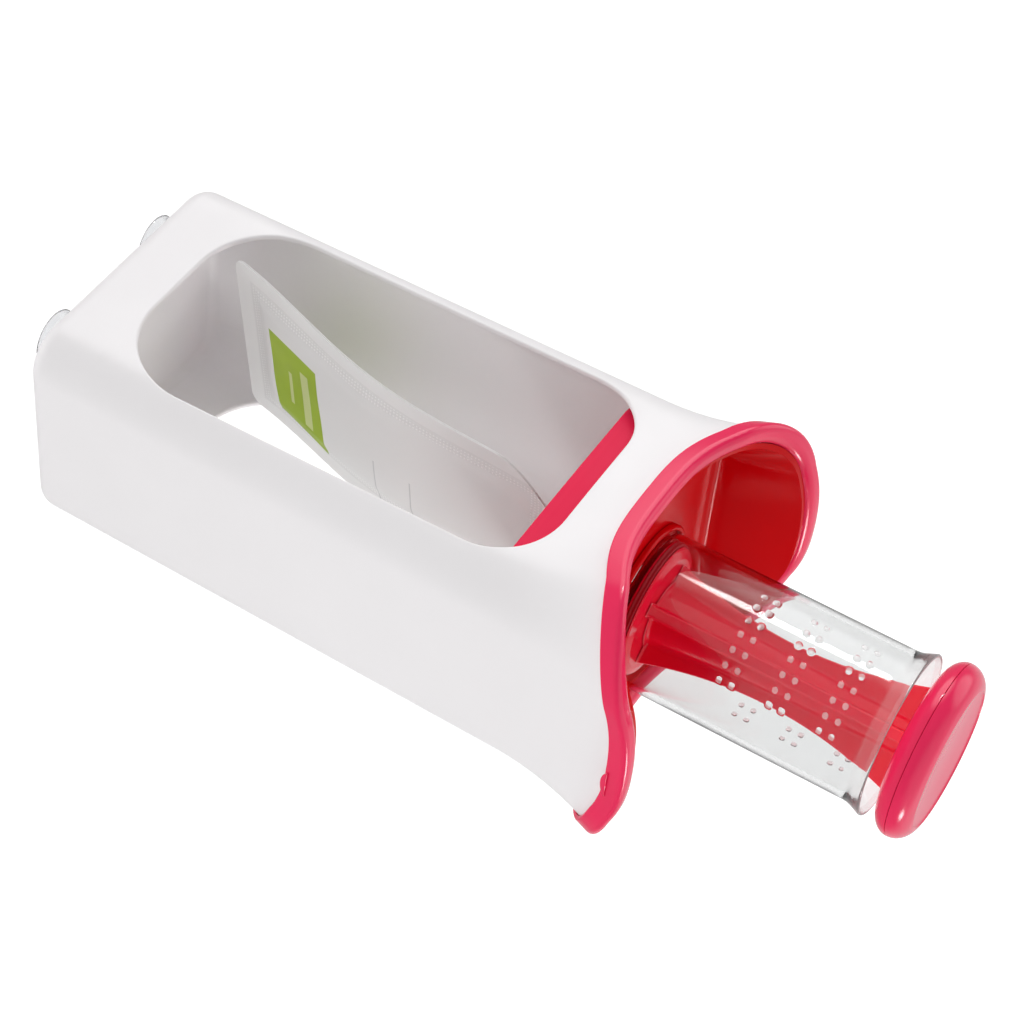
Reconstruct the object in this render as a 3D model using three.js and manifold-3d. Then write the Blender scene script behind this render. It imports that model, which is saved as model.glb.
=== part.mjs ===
// Pouch filling station: a white housing on suction cups, a lift-out carriage with a rim trim,
// a clear filling tube, a plunger that presses the food down, and a film pouch that hangs inside.
// Millimetres, +Z up. Heights below are measured from the underside of the housing; the whole
// group is then raised by the height of the suction cups.
import * as THREE from "three";
import { mergeVertices } from "three/addons/utils/BufferGeometryUtils.js";
import Module from "manifold-3d";

const wasm = await Module();
wasm.setup();

// ---- Driving dimensions ----------------------------------------------------------------------

const GAP = 0.3; // clearance between pieces that touch
const CUP_HEIGHT = 6;

// Housing: a rounded rectangle that grows with height and flares out below its wavy rim.
const HALF_WIDTH = 49.7;
const HALF_DEPTH = 39.3;
const CORNER = 14.2;
const DRAFT = 0.015;
const WALL = 2.2;
const BASE_FILLET = 6;
const RIM_CORNER = 17; // corner radius used to measure how far round the rim a point is
// Rim height as a cosine series from the front and back centres to the two sides.
const RIM_WAVES = [205, -14.66, 0.49, 1.22];
const FLARE_LENGTH = 34;
const FLARE_RATE = 0.0045;
const RIM_TONGUE = 3; // how far the housing wall stands up inside the trim

const WINDOW_HALF_WIDTH = 40.2;
const WINDOW_BOTTOM = 23.1;
const WINDOW_TOP = 176;
const WINDOW_LOW_CORNER = 27.3;
const WINDOW_HIGH_CORNER = 22;

// Suction cups
const CUP_X = 27;
const CUP_Y = 21.3;
const CUP_RADIUS = 9.6;
const CUP_STEM_RADIUS = 3;
const CUP_SOCKET_DEPTH = 1.5;
const CUP_LIP = 0.6;

// Trim section, measured outwards from the housing face and upwards from the rim
const TRIM_PROUD = 1.9;
const TRIM_BAND = 4.4;
const TRIM_HEIGHT = 7.8;
const TRIM_INNER = -4.9;
const RIM_SLOPE = 2 * FLARE_RATE * FLARE_LENGTH; // outward slope of the wall at the rim
const TAB_BEVEL = 0.3;
const TAB_LENGTH = 10.5;
const TAB_DROP = 1.9; // how far the half-moon hangs below the edge of the trim
const TAB_THICKNESS = 0.4;
const TAB_OFFSET = 7.5; // snap tabs sit this far behind the middle of each side

// Tray: skirt, ear liners and deck
const TRAY_OUTER = TRIM_INNER - GAP;
const TRAY_WALL = 2;
const SKIRT_BOTTOM = 166;
const DECK_TOP = 195.5;
const DECK_THICKNESS = 2.5;
const LINER_STEP = 5.4; // liner top above the rim seam
const DECK_HOLE_RADIUS = 8;

// Filling tube
const TUBE_RADIUS = 25;
const TUBE_WALL = 1.8;
const TUBE_TOP = 286.7;
const TUBE_LIP_RADIUS = 27.2;
const NOZZLE_RADIUS = 5;
const NOZZLE_WALL = 1.5;
const NOZZLE_BOTTOM = 186;

// Collar round the foot of the tube and holder for the pouch spout
const COLLAR_RADIUS = 27.2;
const COLLAR_TOP = 197.6;
const HOLDER_RADIUS = 11.6;
const HOLDER_BORE = 9;
const HOLDER_BOTTOM = 182;

// Plunger
const PISTON_RADIUS = 22.4;
const PISTON_TOP_RADIUS = 18.6;
const PISTON_BOTTOM = 199.3;
const PISTON_TOP = 203.8;
const SEAL_RADIUS = 22.85;
const STEM_TURN = -50; // degrees from +X to the web that faces the right front
const STEM_TOP = 290.2;
const STEM_WAIST = 246;
const STEM_WAIST_RADIUS = 10.2;
const STEM_SPREAD = 0.0037;
const WEB_THICKNESS = 3.6;
const SOCKET_RADIUS = 3;
const SOCKET_DEPTH = 12;
const PEG_LENGTH = 9.6;

// Knob
const KNOB_RADIUS = 28.8;
const KNOB_EDGE = 7.1;
const KNOB_BOTTOM = 290.6;
const KNOB_PARTING = 296.3;
const KNOB_TOP = 303;
const KNOB_FACE_RADIUS = 22.7;
const KNOB_WALL = 2;

// Pouch: hangs from its spout, leans to the left and bows towards the right
const SPOUT_RADIUS = 6.6;
const SPOUT_BORE = 5.4;
const SPOUT_TOP = 190;
const SPOUT_BOTTOM = 174.5;
const SPOUT_FLANGE_RADIUS = 8.4;
const SPOUT_FLANGES = [[180, 181.2], [184.4, 185.4]]; // bottom and top of each flange
const POUCH_PIVOT = 185;
const POUCH_LEAN = 10.2; // degrees
const POUCH_TURN = 7.5; // degrees
const POUCH_LENGTH = 158;
const POUCH_NECK = 13;
const POUCH_HALF_WIDTH = 37;
const POUCH_TOP_HALF_WIDTH = 33;
const POUCH_SHOULDER = 45;
const POUCH_NECK_HALF_WIDTH = 8.5;
const POUCH_BOW = 6.5;
const POUCH_BULGE = 2.6;

// ---- Materials -------------------------------------------------------------------------------

const plastic = (color, roughness) =>
  new THREE.MeshStandardMaterial({ color, roughness, metalness: 0 });
const clear = (color, roughness, opacity) =>
  new THREE.MeshStandardMaterial({ color, roughness, metalness: 0, opacity, transparent: true });

const whitePlastic = plastic(0xf2f1f2, 0.35);
const crimsonSatin = plastic(0xe01c46, 0.35);
const crimsonGloss = plastic(0xc40a1e, 0.18);
const clearPlastic = clear(0xe9eaea, 0.05, 0.3);
const clearVinyl = clear(0xdfe2e4, 0.15, 0.5);
const film = clear(0xecebe8, 0.3, 0.5);
const spoutPlastic = plastic(0xf4f4f2, 0.4);
const silicone = plastic(0xb80d20, 0.6);

// ---- Geometry helpers ------------------------------------------------------------------------

function toSolid(geometry) {
  const bare = geometry.clone();
  bare.deleteAttribute("normal");
  bare.deleteAttribute("uv");
  const merged = mergeVertices(bare, 1e-4);
  return new wasm.Manifold(
    new wasm.Mesh({
      numProp: 3,
      vertProperties: new Float32Array(merged.attributes.position.array),
      triVerts: new Uint32Array(merged.index.array),
    }),
  );
}

function toGeometry(solid) {
  const mesh = solid.getMesh();
  const geometry = new THREE.BufferGeometry();
  geometry.setAttribute("position", new THREE.BufferAttribute(mesh.vertProperties, 3));
  geometry.setIndex(new THREE.BufferAttribute(mesh.triVerts, 1));
  geometry.computeVertexNormals();
  return geometry;
}

const cut = (body, ...tools) =>
  toGeometry(tools.reduce((solid, tool) => solid.subtract(toSolid(tool)), toSolid(body)));
const join = (body, ...others) =>
  toGeometry(others.reduce((solid, other) => solid.add(toSolid(other)), toSolid(body)));

// Lathe about +Z from [radius, height] pairs that run up the outside and down the inside.
function turned(points, segments = 40) {
  const profile = points.map(([radius, height]) => new THREE.Vector2(radius, height));
  return new THREE.LatheGeometry(profile, segments).rotateX(Math.PI / 2);
}

const closed = (points) => [...points, points[0]];
const cylinder = (radius, bottom, top, segments = 32) =>
  turned([[0, bottom], [radius, bottom], [radius, top], [0, top]], segments);

// Skin over a stack of rings of equal length. A looped stack closes on itself; otherwise its
// first and last rings are filled.
function skin(rings, looped) {
  const count = rings[0].length;
  const positions = rings.flat().flatMap((p) => [p.x, p.y, p.z]);
  const index = [];
  const steps = looped ? rings.length : rings.length - 1;
  for (let j = 0; j < steps; j++) {
    const here = j * count;
    const next = ((j + 1) % rings.length) * count;
    for (let i = 0; i < count; i++) {
      const k = (i + 1) % count;
      index.push(here + i, here + k, next + k, here + i, next + k, next + i);
    }
  }
  const fill = (ring, start, flip) => {
    const middle = ring.reduce((sum, p) => sum.add(p), new THREE.Vector3()).divideScalar(count);
    const centre = positions.length / 3;
    positions.push(middle.x, middle.y, middle.z);
    for (let i = 0; i < count; i++) {
      const a = start + i;
      const b = start + ((i + 1) % count);
      if (flip) index.push(centre, b, a);
      else index.push(centre, a, b);
    }
  };
  if (!looped) {
    fill(rings[0], 0, true);
    fill(rings.at(-1), (rings.length - 1) * count, false);
  }
  const geometry = new THREE.BufferGeometry();
  geometry.setAttribute("position", new THREE.Float32BufferAttribute(positions, 3));
  geometry.setIndex(index);
  geometry.computeVertexNormals();
  return geometry;
}

const degrees = THREE.MathUtils.degToRad;
const mix = THREE.MathUtils.lerp;
const steps = (count, make) => Array.from({ length: count + 1 }, (_, k) => make(k / count));

// ---- The plan outline shared by the housing, the trim and the tray ----------------------------

const STRAIGHT_X = HALF_WIDTH - CORNER;
const STRAIGHT_Y = HALF_DEPTH - CORNER;
const QUARTER = STRAIGHT_X + (RIM_CORNER * Math.PI) / 2 + STRAIGHT_Y;

// One station of the outline: its corner centre or edge point, its outward direction, and how
// far round it is from the front or back centre (0) to the side centre (1).
function outlineStations(alongFront, alongSide, inCorner) {
  const stations = [];
  const add = (x, y, angle, along) =>
    stations.push({ x, y, nx: Math.cos(angle), ny: Math.sin(angle), u: along / QUARTER });
  const quarterTurn = Math.PI / 2;
  for (const side of [1, -1]) {
    for (let k = 0; k < alongFront; k++) {
      const x = side * mix(-STRAIGHT_X, STRAIGHT_X, k / alongFront);
      add(x, -side * STRAIGHT_Y, -side * quarterTurn, Math.abs(x));
    }
    for (let k = 0; k < inCorner; k++) {
      const turn = (k / inCorner) * quarterTurn;
      const start = side > 0 ? -quarterTurn : quarterTurn;
      add(side * STRAIGHT_X, -side * STRAIGHT_Y, start + turn, STRAIGHT_X + RIM_CORNER * turn);
    }
    for (let k = 0; k < alongSide; k++) {
      const y = side * mix(-STRAIGHT_Y, STRAIGHT_Y, k / alongSide);
      add(side * STRAIGHT_X, y, side > 0 ? 0 : Math.PI, QUARTER - Math.abs(y));
    }
    for (let k = 0; k < inCorner; k++) {
      const turn = (k / inCorner) * quarterTurn;
      const start = side > 0 ? 0 : Math.PI;
      const along = STRAIGHT_X + RIM_CORNER * (quarterTurn - turn);
      add(side * STRAIGHT_X, side * STRAIGHT_Y, start + turn, along);
    }
  }
  return stations;
}

const STATIONS = outlineStations(10, 6, 6);

const rimHeight = (u) =>
  RIM_WAVES.reduce((height, wave, order) => height + wave * Math.cos(order * Math.PI * u), 0);

// How far the housing face stands out from the base outline at a height.
function spread(u, z) {
  const intoFlare = Math.max(0, z - (rimHeight(u) - FLARE_LENGTH));
  return DRAFT * z + FLARE_RATE * intoFlare * intoFlare;
}

// A ring round the outline. place(u) gives [offset from the housing face, height].
function outlineRing(place) {
  return STATIONS.map((s) => {
    const [offset, z] = place(s.u);
    const reach = CORNER + offset + spread(s.u, z);
    return new THREE.Vector3(s.x + s.nx * reach, s.y + s.ny * reach, z);
  });
}

// ---- Housing -----------------------------------------------------------------------------------

function housingShell() {
  const flareStart = (u) => rimHeight(u) - FLARE_LENGTH;
  const top = (u) => rimHeight(u) + RIM_TONGUE;
  const fillet = (radius, offset, bottom) => (t) => {
    const turn = (t * Math.PI) / 2;
    const place = [offset - radius * (1 - Math.sin(turn)), bottom + radius * (1 - Math.cos(turn))];
    return outlineRing(() => place);
  };
  const outside = [
    ...steps(4, fillet(BASE_FILLET, 0, 0)),
    ...steps(6, (t) => outlineRing((u) => [0, mix(flareStart(u), top(u), t)])),
  ];
  const inside = [
    ...steps(6, (t) => outlineRing((u) => [-WALL, mix(top(u), flareStart(u), t)])),
    ...steps(3, fillet(BASE_FILLET - WALL, -WALL, WALL)).reverse(),
  ];
  const pane = new THREE.Shape();
  const corner = (side, radius, z, start) =>
    pane.absarc(side * (WINDOW_HALF_WIDTH - radius), z, radius, start, start + Math.PI / 2);
  const low = WINDOW_BOTTOM + WINDOW_LOW_CORNER;
  const high = WINDOW_TOP - WINDOW_HIGH_CORNER;
  corner(1, WINDOW_LOW_CORNER, low, -Math.PI / 2);
  corner(1, WINDOW_HIGH_CORNER, high, 0);
  corner(-1, WINDOW_HIGH_CORNER, high, Math.PI / 2);
  corner(-1, WINDOW_LOW_CORNER, low, Math.PI);
  const through = 4 * HALF_DEPTH;
  const windows = new THREE.ExtrudeGeometry(pane, {
    depth: through,
    bevelEnabled: false,
    curveSegments: 8,
  });
  windows.rotateX(Math.PI / 2).translate(0, through / 2, 0);
  const sockets = CUP_PLACES.map(([, x, y]) =>
    cylinder(CUP_STEM_RADIUS + GAP, -1, CUP_SOCKET_DEPTH, 16).translate(x, y, 0),
  );
  return cut(skin([...outside, ...inside], false), windows, ...sockets);
}

const CUP_PLACES = [
  ["front_left", -CUP_X, -CUP_Y],
  ["front_right", CUP_X, -CUP_Y],
  ["back_left", -CUP_X, CUP_Y],
  ["back_right", CUP_X, CUP_Y],
];

// A soft cup whose short stem plugs into a blind socket under the housing floor.
function suctionCup() {
  const rim = -CUP_HEIGHT;
  const shoulder = -0.27 * CUP_HEIGHT;
  const ceiling = -0.44 * CUP_HEIGHT;
  const points = [
    [0, ceiling],
    [CUP_RADIUS / 3, ceiling - GAP],
    [0.65 * CUP_RADIUS, rim + 2],
    [CUP_RADIUS - 1, rim],
    [CUP_RADIUS, rim],
    [CUP_RADIUS, rim + CUP_LIP],
    [0.9 * CUP_RADIUS, 0.6 * rim],
    [0.67 * CUP_RADIUS, shoulder],
    [0.52 * CUP_RADIUS, -GAP],
    [CUP_STEM_RADIUS, -GAP],
    [CUP_STEM_RADIUS, CUP_SOCKET_DEPTH - GAP],
    [0, CUP_SOCKET_DEPTH - GAP],
  ];
  return turned(points, 20);
}

// ---- Carriage: trim, tray, collar, spout holder and snap tabs -----------------------------------

function rimTrim() {
  const channel = WALL + 0.4;
  const section = [
    [TRIM_INNER, 0.6],
    [-channel, 0.6],
    [-channel, RIM_TONGUE + GAP],
    [0.4, RIM_TONGUE + GAP],
    [0.4, 0],
    [TRIM_PROUD - 0.3, 0],
    [TRIM_PROUD, 0.5],
    [TRIM_PROUD, TRIM_BAND],
    [TRIM_PROUD - 0.5, TRIM_BAND + 1.4],
    [TRIM_PROUD - 1.6, TRIM_BAND + 2.6],
    [-1, TRIM_HEIGHT],
    [-2.7, TRIM_HEIGHT],
    [-4, TRIM_HEIGHT - 0.7],
    [-4.7, TRIM_HEIGHT - 1.8],
    [TRIM_INNER, TRIM_HEIGHT - 2.6],
  ];
  const rings = section.map(([offset, up]) => outlineRing((u) => [offset, rimHeight(u) + up]));
  return skin(rings, true);
}

function tray() {
  const inner = TRAY_OUTER - TRAY_WALL;
  const deckBottom = DECK_TOP - DECK_THICKNESS;
  const top = (u) => Math.max(rimHeight(u) + LINER_STEP, DECK_TOP);
  const flareFoot = (u) => Math.max(rimHeight(u) - FLARE_LENGTH, SKIRT_BOTTOM + 1);
  const rings = [
    ...steps(2, (t) => outlineRing(() => [inner, mix(deckBottom, SKIRT_BOTTOM, t)])),
    outlineRing(() => [TRAY_OUTER, SKIRT_BOTTOM]),
    ...steps(5, (t) => outlineRing((u) => [TRAY_OUTER, mix(flareFoot(u), top(u), t)])),
    ...steps(4, (t) => outlineRing((u) => [inner - t, mix(top(u), DECK_TOP, 1 - (1 - t) ** 2)])),
  ];
  const hole = cylinder(DECK_HOLE_RADIUS, deckBottom - 1, DECK_TOP + 1, 24);
  return cut(skin(rings, false), hole);
}

function tubeCollar() {
  const bore = TUBE_RADIUS + 0.4;
  const foot = DECK_TOP + GAP;
  const edge = 0.6;
  return turned(
    closed([
      [bore, foot],
      [COLLAR_RADIUS, foot],
      [COLLAR_RADIUS, COLLAR_TOP - edge],
      [COLLAR_RADIUS - edge, COLLAR_TOP],
      [bore, COLLAR_TOP],
    ]),
  );
}

function spoutHolder() {
  const top = DECK_TOP - DECK_THICKNESS - GAP;
  const flare = 2.5;
  const edge = 0.5;
  return turned(
    closed([
      [HOLDER_BORE, HOLDER_BOTTOM],
      [HOLDER_RADIUS - edge, HOLDER_BOTTOM],
      [HOLDER_RADIUS, HOLDER_BOTTOM + edge],
      [HOLDER_RADIUS, top - flare],
      [HOLDER_RADIUS + flare, top],
      [HOLDER_BORE, top],
    ]),
    32,
  );
}

// A thin half-moon catch that hangs below the lower edge of the trim, near the middle of one side.
function snapTab() {
  const bow = new THREE.Shape();
  bow.moveTo(-TAB_LENGTH / 2, 0);
  bow.quadraticCurveTo(0, -2 * TAB_DROP, TAB_LENGTH / 2, 0);
  bow.lineTo(-TAB_LENGTH / 2, 0);
  return new THREE.ExtrudeGeometry(bow, {
    depth: TAB_THICKNESS,
    bevelEnabled: true,
    bevelThickness: TAB_BEVEL,
    bevelSize: TAB_BEVEL,
    bevelSegments: 1,
    curveSegments: 8,
  });
}

// ---- Filling tube --------------------------------------------------------------------------------

function fillingTube() {
  const bore = TUBE_RADIUS - TUBE_WALL;
  const foot = DECK_TOP + GAP;
  const nozzleBore = NOZZLE_RADIUS - NOZZLE_WALL;
  return turned(
    closed([
      [nozzleBore, NOZZLE_BOTTOM],
      [NOZZLE_RADIUS, NOZZLE_BOTTOM],
      [NOZZLE_RADIUS, foot],
      [TUBE_RADIUS - 2.4, foot],
      [TUBE_RADIUS - 0.7, foot + 0.7],
      [TUBE_RADIUS, foot + 2.4],
      [TUBE_RADIUS, TUBE_TOP - 6],
      [TUBE_RADIUS + 0.6, TUBE_TOP - 2.8],
      [TUBE_LIP_RADIUS - 0.5, TUBE_TOP - 0.8],
      [TUBE_LIP_RADIUS, TUBE_TOP],
      [TUBE_LIP_RADIUS - 0.4, TUBE_TOP + 0.6],
      [TUBE_RADIUS + 0.4, TUBE_TOP - 0.4],
      [bore + 0.8, TUBE_TOP - 2.8],
      [bore, TUBE_TOP - 6],
      [bore, foot + 3.2],
      [bore - 0.8, foot + 2.3],
      [nozzleBore, foot + 1.6],
    ]),
  );
}

// ---- Plunger -------------------------------------------------------------------------------------

const stemRadius = (z) => STEM_WAIST_RADIUS + STEM_SPREAD * (z - STEM_WAIST) ** 2;

function plungerStem() {
  const foot = PISTON_TOP + GAP;
  const heights = steps(10, (t) => mix(foot, STEM_TOP, t));
  const web = (turn) => {
    const right = heights.map((z) => new THREE.Vector2(stemRadius(z), z));
    const left = heights.map((z) => new THREE.Vector2(-stemRadius(z), z)).reverse();
    const slab = new THREE.ExtrudeGeometry(new THREE.Shape([...right, ...left]), {
      depth: WEB_THICKNESS,
      bevelEnabled: false,
    });
    slab.translate(0, 0, -WEB_THICKNESS / 2).rotateX(Math.PI / 2);
    return slab.rotateZ(degrees(turn));
  };
  const core = [[0, foot + 0.01], [10, foot + 0.01], [8.8, 215], [7.4, 230], [6.8, 245], [6.1, 268]];
  core.push([5.8, STEM_TOP - 0.01], [0, STEM_TOP - 0.01]);
  const stem = join(web(STEM_TURN), web(STEM_TURN + 90), turned(core, 24));
  return cut(stem, cylinder(SOCKET_RADIUS, STEM_TOP - SOCKET_DEPTH, STEM_TOP + 1, 20));
}

const SEAL_BOTTOM = PISTON_BOTTOM + 0.9;
const SEAL_HEIGHT = 1.8;
const GROOVE_RADIUS = 19.8;

function pistonDisc() {
  return turned([
    [0, PISTON_BOTTOM],
    [PISTON_RADIUS - 0.4, PISTON_BOTTOM],
    [PISTON_RADIUS, PISTON_BOTTOM + 0.4],
    [PISTON_RADIUS, SEAL_BOTTOM - 0.15],
    [GROOVE_RADIUS, SEAL_BOTTOM - 0.15],
    [GROOVE_RADIUS, SEAL_BOTTOM + SEAL_HEIGHT + 0.15],
    [PISTON_RADIUS - 0.2, SEAL_BOTTOM + SEAL_HEIGHT + 0.15],
    [PISTON_TOP_RADIUS, PISTON_TOP],
    [0, PISTON_TOP],
  ]);
}

function pistonSeal() {
  return turned(
    closed([
      [GROOVE_RADIUS + 0.15, SEAL_BOTTOM],
      [SEAL_RADIUS, SEAL_BOTTOM],
      [SEAL_RADIUS - 0.4, SEAL_BOTTOM + SEAL_HEIGHT / 2],
      [SEAL_RADIUS, SEAL_BOTTOM + SEAL_HEIGHT],
      [GROOVE_RADIUS + 0.15, SEAL_BOTTOM + SEAL_HEIGHT],
    ]),
  );
}

// Lower half of the knob: a round-edged dish with a peg that plugs into the stem.
function knobBase() {
  const edge = (t) => {
    const turn = (t * Math.PI) / 2;
    const radius = KNOB_RADIUS - KNOB_EDGE * (1 - Math.sin(turn));
    return [radius, KNOB_PARTING - (KNOB_PARTING - KNOB_BOTTOM) * Math.cos(turn)];
  };
  const peg = SOCKET_RADIUS - GAP;
  const floor = KNOB_BOTTOM + KNOB_WALL;
  const inner = KNOB_RADIUS - KNOB_WALL;
  return turned([
    [0, STEM_TOP - PEG_LENGTH],
    [peg, STEM_TOP - PEG_LENGTH],
    [peg, KNOB_BOTTOM],
    ...steps(5, edge),
    [inner, KNOB_PARTING],
    [inner - 1.2, floor + 1.6],
    [inner - 4.6, floor],
    [0, floor],
  ]);
}

// Upper half: rounded rim with a shallow dished face, hollow underneath.
function knobCap() {
  const bottom = KNOB_PARTING + GAP;
  const edge = (t) => {
    const turn = (t * Math.PI) / 2;
    const radius = KNOB_RADIUS - KNOB_EDGE * (1 - Math.cos(turn));
    return [radius, bottom + (KNOB_TOP - bottom) * Math.sin(turn)];
  };
  const inner = KNOB_RADIUS - KNOB_WALL;
  const dish = KNOB_TOP - 1.2;
  return turned([
    [0, dish - KNOB_WALL],
    [KNOB_FACE_RADIUS - 2, dish - KNOB_WALL + 0.3],
    [inner - 1.5, bottom + 2.6],
    [inner, bottom],
    ...steps(6, edge),
    [KNOB_FACE_RADIUS - 1.4, KNOB_TOP - 0.4],
    [KNOB_FACE_RADIUS - 8, dish + 0.2],
    [0, dish],
  ]);
}

// ---- Pouch ---------------------------------------------------------------------------------------

const lean = degrees(POUCH_LEAN);
const turnAngle = degrees(POUCH_TURN);
const POUCH_UP = new THREE.Vector3(Math.sin(lean), 0, Math.cos(lean));
const POUCH_ACROSS = new THREE.Vector3(-Math.sin(turnAngle), Math.cos(turnAngle), 0)
  .projectOnPlane(POUCH_UP)
  .normalize();
const POUCH_OUT = new THREE.Vector3().crossVectors(POUCH_ACROSS, POUCH_UP);

// Half width at a distance down from the pivot.
function pouchHalfWidth(down) {
  if (down <= POUCH_SHOULDER) {
    const t = (down - POUCH_NECK) / (POUCH_SHOULDER - POUCH_NECK);
    const eased = Math.sin((Math.min(t, 1) * Math.PI) / 2) ** 1.4;
    return mix(POUCH_NECK_HALF_WIDTH, POUCH_TOP_HALF_WIDTH, eased);
  }
  const t = (down - POUCH_SHOULDER) / (POUCH_LENGTH - POUCH_SHOULDER);
  return mix(POUCH_TOP_HALF_WIDTH, POUCH_HALF_WIDTH, t);
}

function pouchBow(down) {
  const start = 20;
  const t = THREE.MathUtils.clamp((down - start) / (POUCH_LENGTH - start), 0, 1);
  return POUCH_BOW * Math.sin(Math.PI * t) ** 1.8;
}

// One film of the pouch as a thin lens-shaped half: side +1 faces right, -1 faces left.
function pouchFilm(side) {
  const inner = GAP / 2;
  const rings = steps(16, (t) => {
    const down = mix(POUCH_NECK, POUCH_LENGTH, t);
    const half = pouchHalfWidth(down) - (t === 1 ? 3 : 0);
    const fullness = 0.25 + 0.75 * Math.sin(Math.PI * Math.min(1, 0.12 + t * 0.88)) ** 0.6;
    const place = (s, out) =>
      new THREE.Vector3(0, 0, POUCH_PIVOT)
        .addScaledVector(POUCH_UP, -down)
        .addScaledVector(POUCH_ACROSS, s)
        .addScaledVector(POUCH_OUT, pouchBow(down) + side * out);
    const flat = steps(6, (k) => place(side * mix(-half, half, k), inner));
    const crowned = steps(6, (k) => {
      const s = mix(half, -half, k);
      const crown = 1 - (s / half) ** 2;
      return place(side * s, inner + 0.5 + (POUCH_BULGE - 0.5) * crown * fullness);
    });
    return [...flat, ...crowned];
  });
  return skin(rings, false);
}

function pouchSpout() {
  const flanges = SPOUT_FLANGES.flatMap(([bottom, top]) => [
    [SPOUT_RADIUS, bottom],
    [SPOUT_FLANGE_RADIUS, bottom],
    [SPOUT_FLANGE_RADIUS, top],
    [SPOUT_RADIUS, top],
  ]);
  return turned(
    closed([
      [SPOUT_BORE, SPOUT_BOTTOM],
      [SPOUT_RADIUS, SPOUT_BOTTOM],
      ...flanges,
      [SPOUT_RADIUS, SPOUT_TOP],
      [SPOUT_BORE, SPOUT_TOP],
    ]),
    24,
  );
}

// ---- Assembly ------------------------------------------------------------------------------------

const station = new THREE.Group();
station.position.z = CUP_HEIGHT;

function piece(name, geometry, material, parent = station) {
  const mesh = new THREE.Mesh(geometry, material);
  mesh.name = name;
  parent.add(mesh);
  return mesh;
}

const housing = new THREE.Group();
const carriage = new THREE.Group();
const tube = new THREE.Group();
const plunger = new THREE.Group();
const pouch = new THREE.Group();
station.add(housing, carriage, pouch);
carriage.add(tube);
tube.add(plunger);

piece("housing_shell", housingShell(), whitePlastic, housing);
for (const [place, x, y] of CUP_PLACES) {
  piece(`suction_cup_${place}`, suctionCup(), clearVinyl, housing).position.set(x, y, 0);
}

piece("rim_trim", rimTrim(), crimsonSatin, carriage);
piece("tray", tray(), crimsonGloss, carriage);
piece("tube_collar", tubeCollar(), crimsonGloss, carriage);
piece("spout_holder", spoutHolder(), crimsonGloss, carriage);
for (const [name, side] of [["right", 1], ["left", -1]]) {
  const tab = piece(`snap_tab_${name}`, snapTab(), crimsonSatin, carriage);
  const out = new THREE.Vector3(side, 0, -RIM_SLOPE).normalize();
  const along = new THREE.Vector3(0, side, 0);
  const up = new THREE.Vector3().crossVectors(out, along);
  tab.quaternion.setFromRotationMatrix(new THREE.Matrix4().makeBasis(along, up, out));
  const u = 1 - TAB_OFFSET / QUARTER;
  const face = HALF_WIDTH + spread(u, rimHeight(u)) + TRIM_PROUD + GAP + TAB_BEVEL;
  tab.position.set(side * face, TAB_OFFSET, rimHeight(u)).addScaledVector(out, 2 * GAP);
}

piece("filling_tube", fillingTube(), clearPlastic, tube);
piece("plunger_stem", plungerStem(), crimsonGloss, plunger);
piece("piston_disc", pistonDisc(), crimsonGloss, plunger);
piece("piston_seal", pistonSeal(), silicone, plunger);
piece("knob_base", knobBase(), crimsonSatin, plunger);
piece("knob_cap", knobCap(), crimsonSatin, plunger);

piece("pouch_right_film", pouchFilm(1), film, pouch);
piece("pouch_left_film", pouchFilm(-1), film, pouch);
piece("pouch_spout", pouchSpout(), spoutPlastic, pouch);

export default station;
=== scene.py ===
"""Looks of the pouch filling station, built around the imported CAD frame.

Lengths are in millimetres, and heights start at the underside of the housing, until a mesh is
made. From there on they are in metres in the frame of the CAD model. Each piece stands for one
CAD node, and the housing, the trim and the tray share one plan outline.
"""
import math

import bmesh
import bpy
import numpy as np
from mathutils import Matrix, Vector


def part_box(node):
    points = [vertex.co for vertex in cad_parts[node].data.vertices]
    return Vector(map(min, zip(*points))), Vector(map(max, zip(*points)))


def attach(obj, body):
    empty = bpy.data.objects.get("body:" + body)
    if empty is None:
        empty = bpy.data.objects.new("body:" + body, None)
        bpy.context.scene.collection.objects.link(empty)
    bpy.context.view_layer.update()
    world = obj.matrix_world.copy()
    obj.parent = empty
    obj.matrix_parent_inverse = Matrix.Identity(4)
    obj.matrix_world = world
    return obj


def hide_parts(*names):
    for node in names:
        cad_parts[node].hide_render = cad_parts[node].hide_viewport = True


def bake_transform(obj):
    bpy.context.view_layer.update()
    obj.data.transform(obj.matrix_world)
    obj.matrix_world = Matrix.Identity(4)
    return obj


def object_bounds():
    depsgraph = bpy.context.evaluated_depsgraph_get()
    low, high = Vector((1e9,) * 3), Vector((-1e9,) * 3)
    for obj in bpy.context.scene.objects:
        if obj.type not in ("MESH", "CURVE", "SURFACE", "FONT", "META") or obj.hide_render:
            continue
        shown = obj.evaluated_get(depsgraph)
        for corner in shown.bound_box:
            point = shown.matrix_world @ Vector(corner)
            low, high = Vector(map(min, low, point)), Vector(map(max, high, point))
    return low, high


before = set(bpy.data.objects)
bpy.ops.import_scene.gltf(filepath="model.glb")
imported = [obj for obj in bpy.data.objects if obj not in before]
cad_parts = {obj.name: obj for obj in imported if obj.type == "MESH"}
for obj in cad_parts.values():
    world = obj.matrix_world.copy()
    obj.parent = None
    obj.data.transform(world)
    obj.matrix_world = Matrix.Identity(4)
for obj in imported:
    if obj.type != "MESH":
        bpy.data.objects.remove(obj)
CAD_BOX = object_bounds()

MM = 0.001
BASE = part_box("housing_shell")[0].z
HALF_PI = math.pi / 2

# ---- Dimensions, in millimetres ---------------------------------------------------------------

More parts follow.
